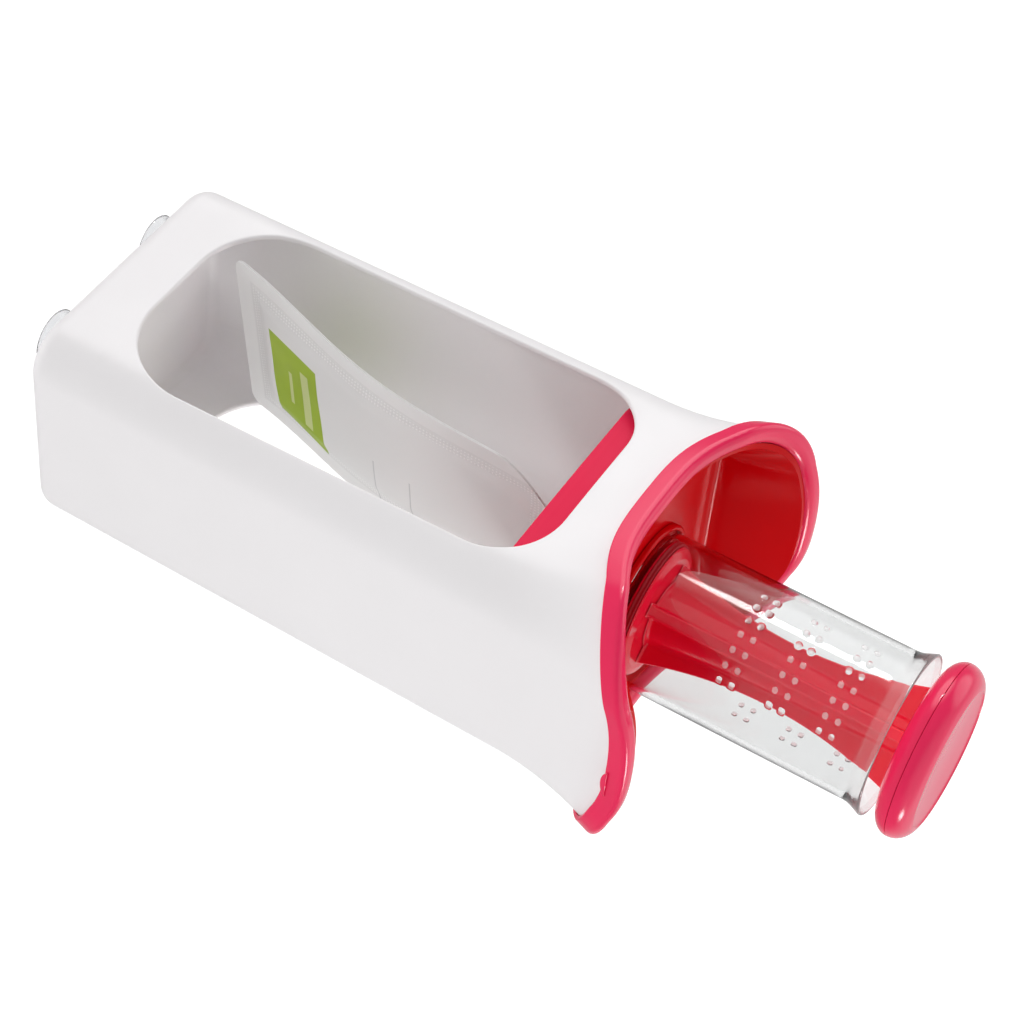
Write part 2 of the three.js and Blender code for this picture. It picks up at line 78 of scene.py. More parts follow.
CORNER = 14.2
STRAIGHT_X = 35.5
STRAIGHT_Y = 25.1
DRAFT = 0.015
WALL = 2.2
BASE_FILLET = 6.0
RIM_WAVES = (205.0, -14.66, 0.49, 1.22)
FLARE_LENGTH = 34.0
FLARE_RATE = 0.0045
RIM_TONGUE = 3.0
RIM_CORNER = 17.0
QUARTER = STRAIGHT_X + RIM_CORNER * HALF_PI + STRAIGHT_Y

WINDOW_HALF = 40.2
WINDOW_LOW = 23.1
WINDOW_HIGH = 176.0
WINDOW_LOW_CORNER = 27.3
WINDOW_HIGH_CORNER = 22.0
WINDOW_EDGE = 0.8

TUBE_RADIUS = 25.0
TUBE_FOOT = 195.8


# ---- Mesh helpers -----------------------------------------------------------------------------


def grid_faces(rows, cols, wrap_rows=False, wrap_cols=False, start=0):
    """Quads between neighbouring points of a grid that is stored row by row."""
    r = np.arange(rows if wrap_rows else rows - 1)
    c = np.arange(cols if wrap_cols else cols - 1)
    a, b = np.meshgrid(r, c, indexing="ij")
    a2, b2 = (a + 1) % rows, (b + 1) % cols
    quads = np.stack([a * cols + b, a * cols + b2, a2 * cols + b2, a2 * cols + b], -1)
    return quads.reshape(-1, 4) + start


class Skin:
    """Collects grids of points, in millimetres, into one mesh."""

    def __init__(self):
        self.points = []
        self.faces = []
        self.count = 0

    def grid(self, points, wrap_rows=False, wrap_cols=False):
        rows, cols = points.shape[:2]
        self.points.append(points.reshape(-1, 3))
        self.faces.extend(grid_faces(rows, cols, wrap_rows, wrap_cols, self.count).tolist())
        self.count += rows * cols
        return self

    def disc(self, ring):
        self.points.append(ring)
        self.faces.append(list(range(self.count, self.count + len(ring))))
        self.count += len(ring)
        return self

    def bmesh(self):
        mesh = bmesh.new()
        verts = [mesh.verts.new(p) for p in np.concatenate(self.points).tolist()]
        for face in self.faces:
            mesh.faces.new([verts[i] for i in face])
        bmesh.ops.remove_doubles(mesh, verts=mesh.verts, dist=1e-3)
        return mesh


def finish_piece(name, mesh, body, nodes, material, sharp=38, weighted=True):
    """Turns a bmesh in millimetres into a piece that rides on a body and stands for CAD nodes."""
    bmesh.ops.recalc_face_normals(mesh, faces=mesh.faces)
    data = bpy.data.meshes.new(name)
    mesh.to_mesh(data)
    mesh.free()
    data.transform(Matrix.Translation((0, 0, BASE)) @ Matrix.Scale(MM, 4))
    data.shade_smooth()
    data.set_sharp_from_angle(angle=math.radians(sharp))
    piece = bpy.data.objects.new(name, data)
    bpy.context.scene.collection.objects.link(piece)
    data.materials.append(material)
    if weighted:
        modifier = piece.modifiers.new("even_normals", "WEIGHTED_NORMAL")
        modifier.keep_sharp = True
    if body:
        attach(piece, body)
    if nodes:
        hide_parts(*nodes)
    return piece


def rounded(corners, closed=False, step=12):
    """Polyline through (x, y, radius) corners, each corner replaced by an arc of that radius."""
    out = []
    count = len(corners)
    for i, (x, y, radius) in enumerate(corners):
        here = np.array([x, y], float)
        if radius <= 0 or (not closed and i in (0, count - 1)):
            out.append(here)
            continue
        before = np.array(corners[i - 1][:2], float) - here
        after = np.array(corners[(i + 1) % count][:2], float) - here
        before /= np.linalg.norm(before)
        after /= np.linalg.norm(after)
        half = math.acos(np.clip(before @ after, -1, 1)) / 2
        if half > HALF_PI - 0.02:
            out.append(here)
            continue
        centre = here + (before + after) / np.linalg.norm(before + after) * radius / math.sin(half)
        first = here + before * radius / math.tan(half) - centre
        last = here + after * radius / math.tan(half) - centre
        sweep = math.pi - 2 * half
        pieces = max(2, math.ceil(math.degrees(sweep) / step))
        for k in range(pieces + 1):
            t = k / pieces
            weight = math.sin((1 - t) * sweep), math.sin(t * sweep)
            out.append(centre + (first * weight[0] + last * weight[1]) / math.sin(sweep))
    return np.array(out)


def lathe_points(profile, segments):
    """Grid of points from a [radius, height] profile turned about the vertical axis."""
    profile = np.asarray(profile, float)
    angle = np.linspace(0, 2 * math.pi, segments, endpoint=False)
    points = np.empty((len(profile), segments, 3))
    points[..., 0] = profile[:, :1] * np.cos(angle)
    points[..., 1] = profile[:, :1] * np.sin(angle)
    points[..., 2] = profile[:, 1:]
    return points


def lathe(profile, closed, segments=128, centre=(0, 0)):
    points = lathe_points(profile, segments)
    points[..., :2] += centre
    return Skin().grid(points, wrap_rows=closed, wrap_cols=True).bmesh()


# ---- The plan outline shared by the housing, the trim and the tray ------------------------------


def rim_height(u):
    return sum(wave * np.cos(order * math.pi * u) for order, wave in enumerate(RIM_WAVES))


def spread(u, z):
    into_flare = np.maximum(0, z - (rim_height(u) - FLARE_LENGTH))
    return DRAFT * z + FLARE_RATE * into_flare**2


def outline(along, offset, z):
    """Points of the front half of the outline. along runs from -QUARTER to QUARTER."""
    along, offset, z = np.broadcast_arrays(*np.atleast_1d(along, offset, z))
    size = np.abs(along)
    side = np.where(along < 0, -1.0, 1.0)
    turn = np.clip((size - STRAIGHT_X) / RIM_CORNER, 0, HALF_PI)
    reach = CORNER + offset + spread(size / QUARTER, z)
    slide = np.maximum(0, size - STRAIGHT_X - RIM_CORNER * HALF_PI)
    x = side * (np.minimum(size, STRAIGHT_X) + np.sin(turn) * reach)
    y = -(STRAIGHT_Y - slide + np.cos(turn) * reach)
    return np.stack([x, y, z], -1)


def along_at(x, z, offset):
    """Where a point of the front with that x lies along the outline."""
    size = np.abs(x)
    along = size.copy()
    for _ in range(10):
        reach = CORNER + offset + spread(along / QUARTER, z)
        turn = np.arcsin(np.clip((size - STRAIGHT_X) / reach, 0, 1))
        along = np.where(size > STRAIGHT_X, STRAIGHT_X + RIM_CORNER * turn, size)
    return along * np.sign(x)


LOOP_HALF = 120


def loop(place):
    """Closed ring round the outline. place(u) gives the offset from the housing face and the height."""
    along = np.linspace(-QUARTER, QUARTER, LOOP_HALF, endpoint=False)
    u = np.abs(along) / QUARTER
    offset, z = place(u)
    front = outline(along, offset, z)
    back = outline(-along, *place(np.abs(-along) / QUARTER)) * [1, -1, 1]
    return np.concatenate([front, back])


# ---- Housing ------------------------------------------------------------------------------------

PANEL_EDGE = STRAIGHT_X + RIM_CORNER * math.pi / 4
PANEL_LOW = 21.0
PANEL_HIGH = 178.0
CORNER_STEPS = 20
ACROSS_STEPS = 12
UP_STEPS = 36

CUP_PLACES = {
    "front_left": (-27.0, -21.3),
    "front_right": (27.0, -21.3),
    "back_left": (-27.0, 21.3),
    "back_right": (27.0, 21.3),
}
SOCKET_RADIUS = 3.3
SOCKET_DEPTH = 1.5
SOCKET_SEGMENTS = 40


def window_outline():
    """Window edge as x, z, outward direction, and the matching points of the panel's border."""
    half_low = WINDOW_HALF - WINDOW_LOW_CORNER
    half_high = WINDOW_HALF - WINDOW_HIGH_CORNER
    low, high = WINDOW_LOW + WINDOW_LOW_CORNER, WINDOW_HIGH - WINDOW_HIGH_CORNER
    rows = []
    mid = CORNER_STEPS // 2
    across = np.linspace(-1, 1, ACROSS_STEPS + 1)
    up = np.linspace(low, high, UP_STEPS + 1)

    def corner(cx, cz, start, sx, sz):
        radius = WINDOW_LOW_CORNER if sz < 0 else WINDOW_HIGH_CORNER
        for k in range(CORNER_STEPS + 1):
            angle = start + HALF_PI * k / CORNER_STEPS
            nx, nz = math.cos(angle), math.sin(angle)
            t = k / mid if k <= mid else (CORNER_STEPS - k) / mid
            horizontal = abs(nz) > abs(nx) + 1e-9
            edge_x = sx * PANEL_EDGE
            edge_z = PANEL_LOW if sz < 0 else PANEL_HIGH
            if horizontal:
                border = (cx + (edge_x - cx) * t, edge_z)
            else:
                border = (edge_x, cz + (edge_z - cz) * t)
            rows.append((cx + radius * nx, cz + radius * nz, nx, nz, *border))

    corner(half_low, low, -HALF_PI, 1, -1)
    for z in up[1:-1]:
        rows.append((WINDOW_HALF, z, 1, 0, PANEL_EDGE, z))
    corner(half_high, high, 0, 1, 1)
    for x in half_high * across[::-1][1:-1]:
        rows.append((x, WINDOW_HIGH, 0, 1, x, PANEL_HIGH))
    corner(-half_high, high, HALF_PI, -1, 1)
    for z in up[::-1][1:-1]:
        rows.append((-WINDOW_HALF, z, -1, 0, -PANEL_EDGE, z))
    corner(-half_low, low, math.pi, -1, -1)
    for x in half_low * across[1:-1]:
        rows.append((x, WINDOW_LOW, 0, -1, x, PANEL_LOW))
    return np.array(rows)


def housing_half():
    """Skin of the front half of the housing, open at the floor and along its middle plane."""
    skin = Skin()
    ring = window_outline()
    x, z, nx, nz, border_x, border_z = ring.T
    for offset in (0.0, -WALL):
        edge_x, edge_z = x + WINDOW_EDGE * nx, z + WINDOW_EDGE * nz
        start = np.stack([along_at(edge_x, edge_z, offset), edge_z], -1)
        end = np.stack([border_x, border_z], -1)
        t = np.linspace(0, 1, 13)[:, None, None] ** 1.3
        domain = start * (1 - t) + end * t
        skin.grid(outline(domain[..., 0], offset, domain[..., 1]), wrap_cols=True)
    depth = [WINDOW_EDGE * (1 - math.cos(a)) for a in np.linspace(0, HALF_PI, 7)]
    away = [WINDOW_EDGE * (1 - math.sin(a)) for a in np.linspace(0, HALF_PI, 7)]
    depth += [WALL - d for d in depth[::-1]]
    away += away[::-1]
    strip = []
    for d, e in zip(away, depth):
        px, pz = x + d * nx, z + d * nz
        outer = outline(along_at(px, pz, 0.0), 0.0, pz)
        inner = outline(along_at(px, pz, -WALL), -WALL, pz)
        y = outer[:, 1] + (inner[:, 1] - outer[:, 1]) * e / WALL
        strip.append(np.stack([px, y, pz], -1))
    skin.grid(np.array(strip), wrap_cols=True)

    side_rows = np.unique(border_z[np.isclose(border_x, PANEL_EDGE)].round(9))
    around = np.linspace(PANEL_EDGE, STRAIGHT_X + RIM_CORNER * HALF_PI, 13)
    side_cols = np.concatenate([around, np.linspace(around[-1], QUARTER, 9)[1:]])

    def columns_at(level):
        front_cols = np.unique(border_x[np.isclose(border_z, level)].round(9))
        return np.concatenate([-side_cols[::-1][:-1], front_cols, side_cols[1:]])

    low_columns, columns = columns_at(PANEL_LOW), columns_at(PANEL_HIGH)
    top = rim_height(np.abs(columns) / QUARTER) + RIM_TONGUE
    for offset in (0.0, -WALL):
        for side in (-1, 1):
            skin.grid(outline(side * side_cols[None], offset, side_rows[:, None]))
        t = np.linspace(0, 1, 29)[:, None]
        skin.grid(outline(columns[None], offset, PANEL_HIGH + (top - PANEL_HIGH) * t))
        low = np.linspace(PANEL_LOW, BASE_FILLET, 5)[:, None]
        skin.grid(outline(low_columns[None], offset, low))
        radius = BASE_FILLET + offset
        turn = np.linspace(HALF_PI, 0, 11)[:, None]
        inset = offset - radius * (1 - np.sin(turn))
        skin.grid(outline(low_columns[None], inset, -offset + radius * (1 - np.cos(turn))))
    skin.grid(np.stack([outline(columns, 0.0, top), outline(columns, -WALL, top)]))
    return skin


def ring_edges(mesh, points):
    """Adds a closed ring of edges and returns its vertices and edges."""
    verts = [mesh.verts.new(p) for p in points]
    edges = [mesh.edges.new((a, b)) for a, b in zip(verts, verts[1:] + verts[:1])]
    return verts, edges


def housing_mesh():
    """Both halves of the housing, closed by its two floor faces with a blind socket for each cup."""
    mesh = housing_half().bmesh()
    twin = bmesh.ops.duplicate(mesh, geom=mesh.verts[:] + mesh.edges[:] + mesh.faces[:])["geom"]
    for v in twin:
        if isinstance(v, bmesh.types.BMVert):
            v.co.y = -v.co.y
    bmesh.ops.remove_doubles(mesh, verts=mesh.verts, dist=2e-3)
    borders = []
    for z in (0.0, WALL):
        found = [e for e in mesh.edges if e.is_boundary and abs(e.verts[0].co.z - z) < 0.01]
        borders.append([e for e in found if abs(e.verts[1].co.z - z) < 0.01])
    angle = np.linspace(0, 2 * math.pi, SOCKET_SEGMENTS, endpoint=False)
    for x, y in CUP_PLACES.values():
        rings = []
        for z in (0.0, SOCKET_DEPTH):
            round_points = zip(SOCKET_RADIUS * np.cos(angle), SOCKET_RADIUS * np.sin(angle))
            rings.append(ring_edges(mesh, [(x + dx, y + dy, z) for dx, dy in round_points]))
        borders[0].extend(rings[0][1])
        low, high = rings[0][0], rings[1][0]
        for k in range(len(low)):
            j = (k + 1) % len(low)
            mesh.faces.new((low[k], low[j], high[j], high[k]))
        mesh.faces.new(high)
    for border in borders:
        bmesh.ops.triangle_fill(mesh, use_beauty=True, edges=border)
    return mesh


CUP_RADIUS = 9.6
CUP_FOOT = -5.95
CUP_SHOULDER = -0.3
CUP_STEM_RADIUS = 3.0
CUP_STEM_TOP = 1.2


def cup_mesh(centre):
    """Suction cup, its stem reaching up into the socket."""
    profile = rounded(
        [
            (0, -2.65, 0),
            (3.2, -2.95, 2),
            (6.2, -4.0, 3),
            (8.6, CUP_FOOT, 0.3),
            (CUP_RADIUS, CUP_FOOT, 0.25),
            (9.55, -5.35, 0.25),
            (8.6, -3.6, 2),
            (6.4, -1.65, 1.5),
            (5.0, CUP_SHOULDER, 0.5),
            (CUP_STEM_RADIUS, CUP_SHOULDER, 0.2),
            (CUP_STEM_RADIUS, CUP_STEM_TOP, 0.3),
            (0, CUP_STEM_TOP, 0),
        ]
    )
    return lathe(profile, False, 96, centre)


# ---- Carriage -----------------------------------------------------------------------------------


# The trim's section, measured from the face of the housing and from the height of its rim
TRIM_INNER = -4.9
TRIM_OUTER = 1.9
TRIM_TOP = 7.8
TRIM_INNER_FOOT = 0.6
CHANNEL_INNER = -2.6
CHANNEL_OUTER = 0.4
CHANNEL_TOP = 3.3


def trim_mesh():
    """Channel that sits over the rim of the housing."""
    section = rounded(
        [
            (TRIM_INNER, TRIM_INNER_FOOT, 0.15),
            (CHANNEL_INNER, TRIM_INNER_FOOT, 0.15),
            (CHANNEL_INNER, CHANNEL_TOP, 0.2),
            (CHANNEL_OUTER, CHANNEL_TOP, 0.2),
            (CHANNEL_OUTER, 0.0, 0.15),
            (TRIM_OUTER, 0.0, 0.45),
            (TRIM_OUTER, TRIM_TOP, 3.2),
            (TRIM_INNER, TRIM_TOP, 2.3),
        ],
        closed=True,
        step=10,
    )
    rings = [loop(lambda u, p=p: (p[0], rim_height(u) + p[1])) for p in section]
    return Skin().grid(np.array(rings), wrap_rows=True, wrap_cols=True).bmesh()


TRAY_OUTER = -5.2
TRAY_INNER = -7.2
SKIRT_BOTTOM = 166.0
DECK_TOP = 195.5
DECK_BOTTOM = 193.0
DECK_HOLE = 8.0
LINER_STEP = 5.4
LINER_LEAN = 0.6
DECK_FILLET = 3.2
FILLET_REACH = 0.6
SKIRT_LIP = 1.0


def deck_hole(angle, z):
    """Points on the edge of the hole through the deck."""
    return np.stack([DECK_HOLE * np.cos(angle), DECK_HOLE * np.sin(angle), 0 * angle + z], -1)


def tray_mesh():
    """Skirt, ear liners and deck. Faces that look outwards take the second material; the rest take the
    first, darker one, which is painted shade.
    """

    def top(u):
        return np.maximum(rim_height(u) + LINER_STEP, DECK_TOP)

    def foot(u):
        return np.maximum(rim_height(u) - FLARE_LENGTH, SKIRT_BOTTOM + 2)

    rings = []
    for t in np.linspace(0, 1, 8):
        z = DECK_BOTTOM + (SKIRT_BOTTOM + SKIRT_LIP - DECK_BOTTOM) * t
        rings.append(loop(lambda u, z=z: (TRAY_INNER, z)))
    for turn in np.linspace(0, math.pi, 9):
        offset = (TRAY_INNER + TRAY_OUTER) / 2 - math.cos(turn)
        height = SKIRT_BOTTOM + SKIRT_LIP - math.sin(turn)
        rings.append(loop(lambda u, o=offset, h=height: (o, h)))
    for t in np.linspace(0.02, 1, 26):
        rings.append(loop(lambda u, t=t: (TRAY_OUTER, foot(u) + (top(u) - foot(u)) * t)))
    for t in np.linspace(0, 1, 30):

        def wall(u, t=t):
            height = top(u) - DECK_TOP
            z = DECK_TOP + height * (1 - t)
            low = np.minimum(height, DECK_FILLET)
            near = np.clip((DECK_TOP + low - z) / np.maximum(low, 1e-6), 0, 1)
            sag = low * (1 - np.sqrt(np.maximum(0, 1 - near**2)))
            return TRAY_INNER - LINER_LEAN * t - FILLET_REACH * sag, z

        rings.append(loop(wall))
    rings = np.array(rings)
    skin = Skin().grid(rings, wrap_cols=True)
    for edge, z in ((rings[0], DECK_BOTTOM), (rings[-1], DECK_TOP)):
        hole = deck_hole(np.arctan2(edge[:, 1], edge[:, 0]), z)
        t = np.linspace(0, 1, 8)[:, None, None]
        skin.grid(edge * (1 - t) + hole * t, wrap_cols=True)
    angle = np.arctan2(rings[0][:, 1], rings[0][:, 0])
    skin.grid(np.array([deck_hole(angle, z) for z in (DECK_BOTTOM, DECK_TOP)]), wrap_cols=True)
    mesh = skin.bmesh()
    bmesh.ops.recalc_face_normals(mesh, faces=mesh.faces)
    # Inward faces keep the darker crimson, painted shade; outward faces get the lighter skirt crimson.
    for face in mesh.faces:
        centre = face.calc_center_median()
        faces_out = face.normal.x * centre.x + face.normal.y * centre.y > 0.3 * centre.xy.length
        face.material_index = 1 if faces_out else 0
    return mesh


COLLAR_BORE = 25.4
COLLAR_RADIUS = 27.2
COLLAR_FOOT = 195.8
COLLAR_TOP = 197.6


def collar_mesh():
    """Low ring round the foot of the tube."""
    section = rounded(
        [
            (COLLAR_BORE, COLLAR_FOOT, 0.1),
            (COLLAR_RADIUS, COLLAR_FOOT, 0.1),
            (COLLAR_RADIUS, COLLAR_TOP, 0.8),
            (COLLAR_BORE, COLLAR_TOP, 0.5),
        ],
        closed=True,
    )
    return lathe(section, True)


HOLDER_BORE = 9.0
HOLDER_RADIUS = 11.6
HOLDER_FLANGE = 14.1
HOLDER_FOOT = 182.0
HOLDER_TOP = 192.7


def holder_mesh():
    """Ring under the deck that holds the spout."""
    section = rounded(
        [
            (HOLDER_BORE, HOLDER_FOOT, 0.3),
            (HOLDER_RADIUS, HOLDER_FOOT, 0.6),
            (HOLDER_RADIUS, 190.6, 1.5),
            (HOLDER_FLANGE, HOLDER_TOP, 0.1),
            (HOLDER_BORE, HOLDER_TOP, 0.1),
        ],
        closed=True,
    )
    return lathe(section, True, 80)


TAB_OFFSET = 7.5
TAB_LENGTH = 11.1
TAB_HEIGHT = 2.2
TAB_RAISE = 1.4
TAB_FOOT = 0.3
TAB_GAP = 0.15
TAB_ROUNDNESS = 1.25

# Layers of the catch, from its back face outwards: share of its outline, and height
TAB_LAYERS = ((1, 0), (1, 0.4), (0.985, 0.55), (0.95, 0.65), (0.88, 0.7), (0, 0.72))


def catch_mesh(side):
    """Half-moon catch on the lower band of the trim, its straight edge up."""
    u = 1 - TAB_OFFSET / QUARTER
    slope = 2 * FLARE_RATE * FLARE_LENGTH
    out = Vector((side, 0, -slope)).normalized()
    along = Vector((0, side, 0))
    up = out.cross(along)
    face = CORNER + STRAIGHT_X + spread(u, rim_height(u)) + TRIM_OUTER
    foot = Vector((side * face, TAB_OFFSET, rim_height(u) + TAB_FOOT))
    origin = foot + up * TAB_RAISE + out * TAB_GAP
    edge = []
    for t in np.linspace(0, math.pi, 33):
        edge.append((-math.cos(t) * TAB_LENGTH / 2, -math.sin(t) ** TAB_ROUNDNESS * TAB_HEIGHT))
    edge = rounded([(x, y, 0) for x, y in edge], closed=True)
    middle = edge.mean(0)
    rings = []
    for shrink, rise in TAB_LAYERS:
        flat = middle + (edge - middle) * shrink
        rings.append([origin + along * x + up * y + out * rise for x, y in flat])
    rings.insert(0, [origin + along * middle[0] + up * middle[1]] * len(edge))
    points = np.array([[tuple(p) for p in ring] for ring in rings])
    return Skin().grid(points, wrap_cols=True).bmesh()


# ---- Filling tube ----------------------------------------------------------------------------------

TUBE_BORE = 23.2
TUBE_FLOOR = 197.4
TUBE_SEGMENTS = 380
LIP_RADIUS = 27.1
LIP_TOP = 287.3
NOZZLE_BORE = 3.5
NOZZLE_RADIUS = 5.0
NOZZLE_FOOT = 186.0

DOTTED_FROM = 228.4
DOTTED_TO = 277.0
DOTTED_STEP = 0.42
DOT_RADIUS = 1.05
DOT_HEIGHT = 0.55
DOT_CLUSTERS = (234.5, 251.3, 268.1)
DOT_PAIR = 4.2
DOT_ROWS = 7
DOT_PITCH = math.radians(11.7)
DOT_CENTRE = math.radians(-64)


def dot_places():
    """(angle, height) of every grip dot: two opposite zones of three clusters."""
    places = []
    for zone in (0, math.pi):
        for height in DOT_CLUSTERS:
            for row in range(DOT_ROWS):
                angle = DOT_CENTRE + zone + (row - (DOT_ROWS - 1) / 2) * DOT_PITCH
                places += [(angle, height), (angle, height + DOT_PAIR)]
    return places


def tube_mesh():
    """Tube with a nozzle below, a flared lip above and grip dots on its wall."""
    outer = rounded(
        [
            (NOZZLE_BORE, NOZZLE_FOOT, 0),
            (NOZZLE_RADIUS, NOZZLE_FOOT, 0.3),
            (NOZZLE_RADIUS, TUBE_FOOT, 0.6),
            (22.6, TUBE_FOOT, 2),
            (TUBE_RADIUS, 198.2, 2.4),
            (TUBE_RADIUS, 228.0, 0),
        ]
    )
    dotted = [(TUBE_RADIUS, z) for z in np.arange(DOTTED_FROM, DOTTED_TO, DOTTED_STEP)]
    top = rounded(
        [
            (TUBE_RADIUS, 277.2, 0),
            (TUBE_RADIUS, 281.5, 8),
            (LIP_RADIUS, 286.5, 0.6),
            (26.2, LIP_TOP, 0.6),
            (TUBE_BORE, 281.0, 8),
            (TUBE_BORE, 198.4, 1.8),
            (22.0, TUBE_FLOOR, 1.0),
            (NOZZLE_BORE, TUBE_FLOOR, 0.6),
        ]
    )
    profile = np.concatenate([outer, dotted, top])
    points = lathe_points(profile, TUBE_SEGMENTS)
    angle = np.linspace(0, 2 * math.pi, TUBE_SEGMENTS, endpoint=False)
    bump = np.zeros(points.shape[:2])
    dotted_rows = slice(len(outer), len(outer) + len(dotted))
    heights = profile[dotted_rows, 1][:, None]
    for place, height in dot_places():
        turn = (angle - place + math.pi) % (2 * math.pi) - math.pi
        away = np.hypot(turn[None] * TUBE_RADIUS, heights - height) / DOT_RADIUS
        cap = DOT_HEIGHT * np.sqrt(np.clip(1 - away**2, 0, 1))
        bump[dotted_rows] = np.maximum(bump[dotted_rows], cap)
    points[..., 0] += bump * np.cos(angle)
    points[..., 1] += bump * np.sin(angle)
    return Skin().grid(points, wrap_rows=True, wrap_cols=True).bmesh()


# ---- Plunger ---------------------------------------------------------------------------------------

STEM_FOOT = 204.1
STEM_TOP = 290.2
STEM_TURN = math.radians(-50)
WEB_HALF = 1.8
WEB_TIP = 0.7
WEB_FILLET = 1.6
WAIST_HEIGHT = 246
WAIST_RADIUS = 10.2
WAIST_RATE = 0.0037
END_FLARE = 1.2
END_FLARE_HEIGHT = 1.5

# Height and radius of the round core between the webs
CORE = ((204, 10.0), (215, 8.8), (230, 7.4), (245, 6.8), (268, 6.1), (STEM_TOP, 5.8))


def stem_section(radius, core, half, tip, fillet):
    """Cross with rounded tips whose arms run into a round core through fillets."""
    reach = core + fillet
    along = math.sqrt(max(reach**2 - (half + fillet) ** 2, (half + fillet) ** 2 + 0.01))
    lean = math.atan2(half + fillet, along)
    arm = [(radius, 0.0)]
    for t in np.linspace(0, HALF_PI, 6):
        arm.append((radius - tip + tip * math.cos(t), half - tip + tip * math.sin(t)))
    for t in np.linspace(0.15, 0.85, 4):
        arm.append((radius - tip + (along - radius + tip) * t, half))
    for t in np.linspace(1.5 * math.pi, math.pi + lean, 7):
        arm.append((along + fillet * math.cos(t), half + fillet + fillet * math.sin(t)))
    bend = np.linspace(lean, HALF_PI - lean, 5)[1:-1]
    middle = [(core * math.cos(t), core * math.sin(t)) for t in bend]
    quadrant = np.array(arm + middle + [(y, x) for x, y in arm[::-1]][:-1])
    out = []
    for k in range(4):
        c, s = round(math.cos(k * HALF_PI)), round(math.sin(k * HALF_PI))
        out.append(quadrant @ np.array([[c, s], [-s, c]]))
    return np.concatenate(out)


def stem_mesh():
    """Four webs round a tapered core, narrow at the waist and flared at both ends."""
    rings = []
    heights = np.concatenate(
        [
            np.linspace(STEM_FOOT, STEM_FOOT + 2, 6),
            np.linspace(STEM_FOOT + 3, STEM_TOP - 3, 50),
            np.linspace(STEM_TOP - 2, STEM_TOP, 6),
        ]
    )
    c, s = math.cos(STEM_TURN), math.sin(STEM_TURN)
    for z in heights:
        near = min(z - STEM_FOOT, STEM_TOP - z)
        rise = 1 - min(near, END_FLARE_HEIGHT) / END_FLARE_HEIGHT
        flare = END_FLARE * (1 - math.sqrt(max(0, 1 - rise**2)))
        radius = WAIST_RADIUS + WAIST_RATE * (z - WAIST_HEIGHT) ** 2
        core = np.interp(z, *zip(*CORE)) + flare
        section = stem_section(radius, core, WEB_HALF + 0.5 * flare, WEB_TIP, WEB_FILLET)
        turned = section @ np.array([[c, s], [-s, c]])
        rings.append(np.column_stack([turned, np.full(len(turned), z)]))
    rings = np.array(rings)
    return Skin().grid(rings, wrap_cols=True).disc(rings[0]).disc(rings[-1]).bmesh()


PISTON_FOOT = 199.3
PISTON_TOP = 203.8
PISTON_RADIUS = 22.4
GROOVE_RADIUS = 19.8
GROOVE_LOW = 200.05
GROOVE_HIGH = 202.15
SEAL_BORE = 19.95
SEAL_RADIUS = 22.85
SEAL_LOW = 200.2
SEAL_HIGH = 202.0


def piston_mesh():
    """Disc with a groove for the seal."""
    profile = rounded(
        [
            (0, PISTON_FOOT, 0),
            (PISTON_RADIUS, PISTON_FOOT, 0.4),
            (PISTON_RADIUS, GROOVE_LOW, 0.1),
            (GROOVE_RADIUS, GROOVE_LOW, 0.1),
            (GROOVE_RADIUS, GROOVE_HIGH, 0.1),
            (22.2, GROOVE_HIGH, 0.2),
            (21.4, 202.9, 0.4),
            (18.6, PISTON_TOP, 1.5),
            (0, PISTON_TOP, 0),
        ]
    )
    return lathe(profile, False)


def seal_mesh():
    """Ring in the piston's groove, with a lip above and below."""
    section = rounded(
        [
            (SEAL_BORE, SEAL_LOW, 0.1),
            (SEAL_RADIUS, SEAL_LOW, 0.25),
            (22.4, 201.1, 0.3),
            (SEAL_RADIUS, SEAL_HIGH, 0.25),
            (SEAL_BORE, SEAL_HIGH, 0.1),
        ],
        closed=True,
        step=20,
    )
    return lathe(section, True)


KNOB_RADIUS = 28.8
KNOB_EDGE = 7.1
KNOB_BOTTOM = 290.6
KNOB_PARTING = 296.3
KNOB_TOP = 303.0
KNOB_FLOOR = 292.6
BOSS_FOOT = 280.2
BOSS_RADIUS = 2.7
DISH_RADIUS = 21.9
DISH_BOTTOM = 301.8
DISH_RISE = 0.74
KNOB_SEGMENTS = 160


def knob_base_mesh():
    """Lower half of the knob, a hollow shell with a boss that goes down into the stem."""
    edge = [
        (
            KNOB_RADIUS - KNOB_EDGE * (1 - math.sin(t)),
            KNOB_PARTING - (KNOB_PARTING - KNOB_BOTTOM) * math.cos(t),
        )
        for t in np.linspace(0, HALF_PI * 0.985, 26)
    ]
    edge += [(28.7, 296.2), (28.6, KNOB_PARTING), (26.8, KNOB_PARTING)]
    inside = [(25.6, 294.2), (22.2, KNOB_FLOOR), (0, KNOB_FLOOR)]
    boss = [(0, BOSS_FOOT), (2.4, BOSS_FOOT), (BOSS_RADIUS, 280.5), (BOSS_RADIUS, KNOB_BOTTOM)]
    return lathe(boss + [(12, KNOB_BOTTOM)] + edge + inside, False, KNOB_SEGMENTS)


